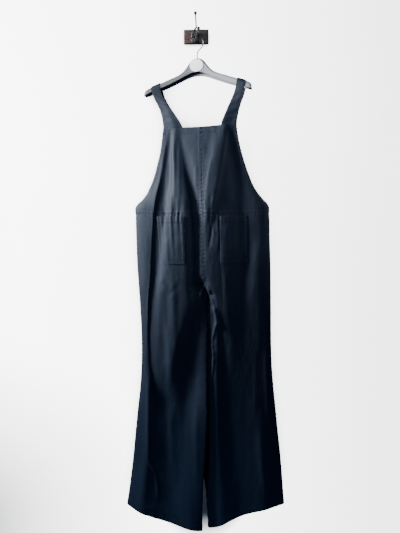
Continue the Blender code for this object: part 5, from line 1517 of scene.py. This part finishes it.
WALL_SIZE, FLOOR_Z = 5.0, -1.80
WALL_GLOW, FLOOR_GLOW, BACKDROP_GLOW = 6.4, 3.0, 2.4
# centres of the wall's painted corner shade and of its painted dark spot behind the parting of the legs
CORNER = (-0.84, -2.36, 0.0)
BEHIND_PARTING = (0.003, -2.267, 0.0)
DOME_RADIUS = 9.0


def product(nodes, links, first, second):
    node = nodes.new("ShaderNodeMath")
    node.operation = "MULTIPLY"
    links.new(first, node.inputs[0])
    links.new(second, node.inputs[1])
    return node.outputs[0]


def wall_shade(nodes, links, place, glow):
    """The wall's glow, with painted light and shade: brightest at the window's side, a painted shade in its low
    corner, painted shadow close behind things and a painted dark spot behind the legs' parting.
    """
    axes = nodes.new("ShaderNodeSeparateXYZ")
    links.new(place, axes.inputs[0])
    # painted light: the glow is brighter towards the window's side
    across = between(nodes, links, axes.outputs["X"], 1.25 * glow, 0.62 * glow, -0.60, 0.62)
    # painted shade in the wall's low corner
    corner = nodes.new("ShaderNodeVectorMath")
    corner.operation = "DISTANCE"
    corner.inputs[1].default_value = CORNER
    links.new(place, corner.inputs[0])
    low = between(nodes, links, corner.outputs["Value"], 0.12, 1.0, 0.05, 0.72)
    # painted shadow: the glow darkens close behind the garment, hanger and hook
    near = nodes.new("ShaderNodeAmbientOcclusion")
    near.samples = 8
    near.inputs["Distance"].default_value = 0.16
    close = nodes.new("ShaderNodeMath")
    close.operation = "POWER"
    links.new(between(nodes, links, near.outputs["AO"], 0.0, 1.0, 0.12, 0.62), close.inputs[0])
    close.inputs[1].default_value = 3.2
    # painted dark spot behind the parting between the legs' hems
    parting = nodes.new("ShaderNodeVectorMath")
    parting.operation = "DISTANCE"
    parting.inputs[1].default_value = BEHIND_PARTING
    links.new(place, parting.inputs[0])
    behind = nodes.new("ShaderNodeMath")
    behind.operation = "POWER"
    links.new(between(nodes, links, parting.outputs["Value"], 0.0, 1.0, 0.05, 0.17), behind.inputs[0])
    behind.inputs[1].default_value = 3.0
    shade = product(nodes, links, close.outputs[0], behind.outputs[0])
    return product(nodes, links, product(nodes, links, across, low), shade)


def pale_paint(name, albedo, glow, one_sided, with_painted_shade=False):
    """Pale paint with a brightness of its own, which also takes the soft shadows of the lights."""
    material, nodes, links, shader = new_material(name, (albedo,) * 3, 0.9)
    place = nodes.new("ShaderNodeTexCoord").outputs["Object"]
    tone = noise(nodes, links, place, 1.2, 3.0)
    links.new(colours(nodes, links, tone, [(0.3, (albedo,) * 3), (0.7, (1.06 * albedo,) * 3)]),
              shader.inputs["Base Color"])
    shader.inputs["Emission Color"].default_value = (0.985, 0.99, 1.0, 1.0)
    # on the wall the glow carries painted light and painted shade
    if with_painted_shade:
        links.new(wall_shade(nodes, links, place, glow), shader.inputs["Emission Strength"])
    else:
        shader.inputs["Emission Strength"].default_value = glow
    shader.inputs["Specular IOR Level"].default_value = 0.0
    material.cycles.emission_sampling = "NONE"
    if one_sided:
        clear = nodes.new("ShaderNodeBsdfTransparent")
        side = nodes.new("ShaderNodeNewGeometry")
        choice = nodes.new("ShaderNodeMixShader")
        links.new(side.outputs["Backfacing"], choice.inputs[0])
        links.new(shader.outputs["BSDF"], choice.inputs[1])
        links.new(clear.outputs["BSDF"], choice.inputs[2])
        links.new(choice.outputs["Shader"], nodes["Material Output"].inputs["Surface"])
    return material


def make_stage():
    bpy.ops.object.select_all(action="DESELECT")
    bpy.ops.mesh.primitive_plane_add(size=WALL_SIZE, location=(0, 0.0005, FLOOR_Z + WALL_SIZE / 2),
                                     rotation=(math.radians(90), 0, 0))
    wall = bpy.context.object
    wall.name = "white_wall"
    wall.data.materials.append(pale_paint("wall_paint", 0.50, WALL_GLOW, True, True))
    bpy.ops.mesh.primitive_plane_add(size=3 * WALL_SIZE, location=(0, 0, FLOOR_Z))
    floor = bpy.context.object
    floor.name = "pale_floor"
    floor.data.materials.append(pale_paint("floor_paint", 0.40, FLOOR_GLOW, False))
    bpy.ops.mesh.primitive_uv_sphere_add(segments=48, ring_count=24, radius=DOME_RADIUS, location=(0, 0, FLOOR_Z))
    dome = bpy.context.object
    dome.name = "pale_backdrop"
    dome.data.flip_normals()
    dome.data.materials.append(pale_paint("backdrop_paint", 0.40, BACKDROP_GLOW, False))
    for piece in (wall, floor, dome):
        piece.visible_diffuse = False
        piece.visible_glossy = False
        piece.visible_shadow = False


def aim(light, target):
    light.rotation_euler = (Vector(target) - light.location).to_track_quat("-Z", "Y").to_euler()


def panel_light(name, place, target, size, power, colour):
    bpy.ops.object.light_add(type="AREA", location=place)
    light = bpy.context.object
    light.name = name
    light.data.shape = "SQUARE"
    light.data.size = size
    light.data.energy = power
    light.data.color = colour
    aim(light, target)


def lamp(name, place, target, radius, power, angle, colour):
    """A soft round lamp whose light fades out towards the edge of its cone."""
    bpy.ops.object.light_add(type="SPOT", location=place)
    light = bpy.context.object
    light.name = name
    light.data.shadow_soft_size = radius
    light.data.energy = power
    light.data.spot_size = math.radians(angle)
    light.data.spot_blend = 1.0
    light.data.color = colour
    aim(light, target)


def light_studio():
    lamp("window", (-2.00, -0.42, 0.20), (-0.05, -0.08, -0.51), 0.32, 790.0, 34.5, (0.97, 0.985, 1.0))
    lamp("window_low", (-2.00, -0.42, -0.60), (-0.14, -0.08, -1.42), 0.30, 145.0, 36.0, (0.60, 0.80, 1.0))
    lamp("room", (-1.00, -2.20, 0.50), (0.0, -0.10, -0.42), 0.40, 80.0, 25.0, (0.66, 0.83, 1.0))
    lamp("floor_glow", (-1.10, -2.00, -1.50), (-0.04, -0.10, -1.54), 0.35, 44.0, 22.0, (0.34, 0.64, 1.0))
    lamp("hook_light", (-1.10, -1.30, 0.60), (0.0, -0.05, 0.01), 0.15, 70.0, 15.0, (1.0, 0.98, 0.96))
    lamp("side_glow", (1.60, -0.30, -0.10), (0.16, -0.08, -0.45), 0.30, 60.0, 30.0, (0.90, 0.95, 1.0))
    panel_light("back_light", (1.9, 2.0, 0.4), (0.0, 0.0, -0.8), 1.0, 110.0, (0.90, 0.95, 1.0))
    world = bpy.context.scene.world or bpy.data.worlds.new("studio")
    bpy.context.scene.world = world
    world.use_nodes = True
    sky = world.node_tree.nodes["Background"]
    sky.inputs["Color"].default_value = (0.20, 0.40, 1.0, 1.0)
    sky.inputs["Strength"].default_value = 0.10


make_camera()
cloth = navy_twill()
thread = navy_thread()
for side in (LEFT, RIGHT):
    for layer, layer_name in ((FRONT, "front"), (BACK, "back")):
        name = f"{layer_name}_bib_{NAMES[side]}"
        sew_panel(name + "_cloth", side, layer, bib_grid(side, layer), cloth, name)
        surfaces[name] = surfaces[name + "_cloth"]
        name = f"{layer_name}_leg_{NAMES[side]}"
        sew_panel(name + "_cloth", side, layer, leg_grid(side, layer), cloth, name)
        surfaces[name] = surfaces[name + "_cloth"]
    make_pocket(side, cloth)
    make_strap(side, cloth)
sew_all(thread)
make_hanger(hanger_plastic())
make_disc(disc_plastic())
make_wire_hook(zinc_wire())
iron = worn_iron()
make_block(old_wood())
make_wall_hook(iron)
make_screws(iron)
make_stage()
light_studio()
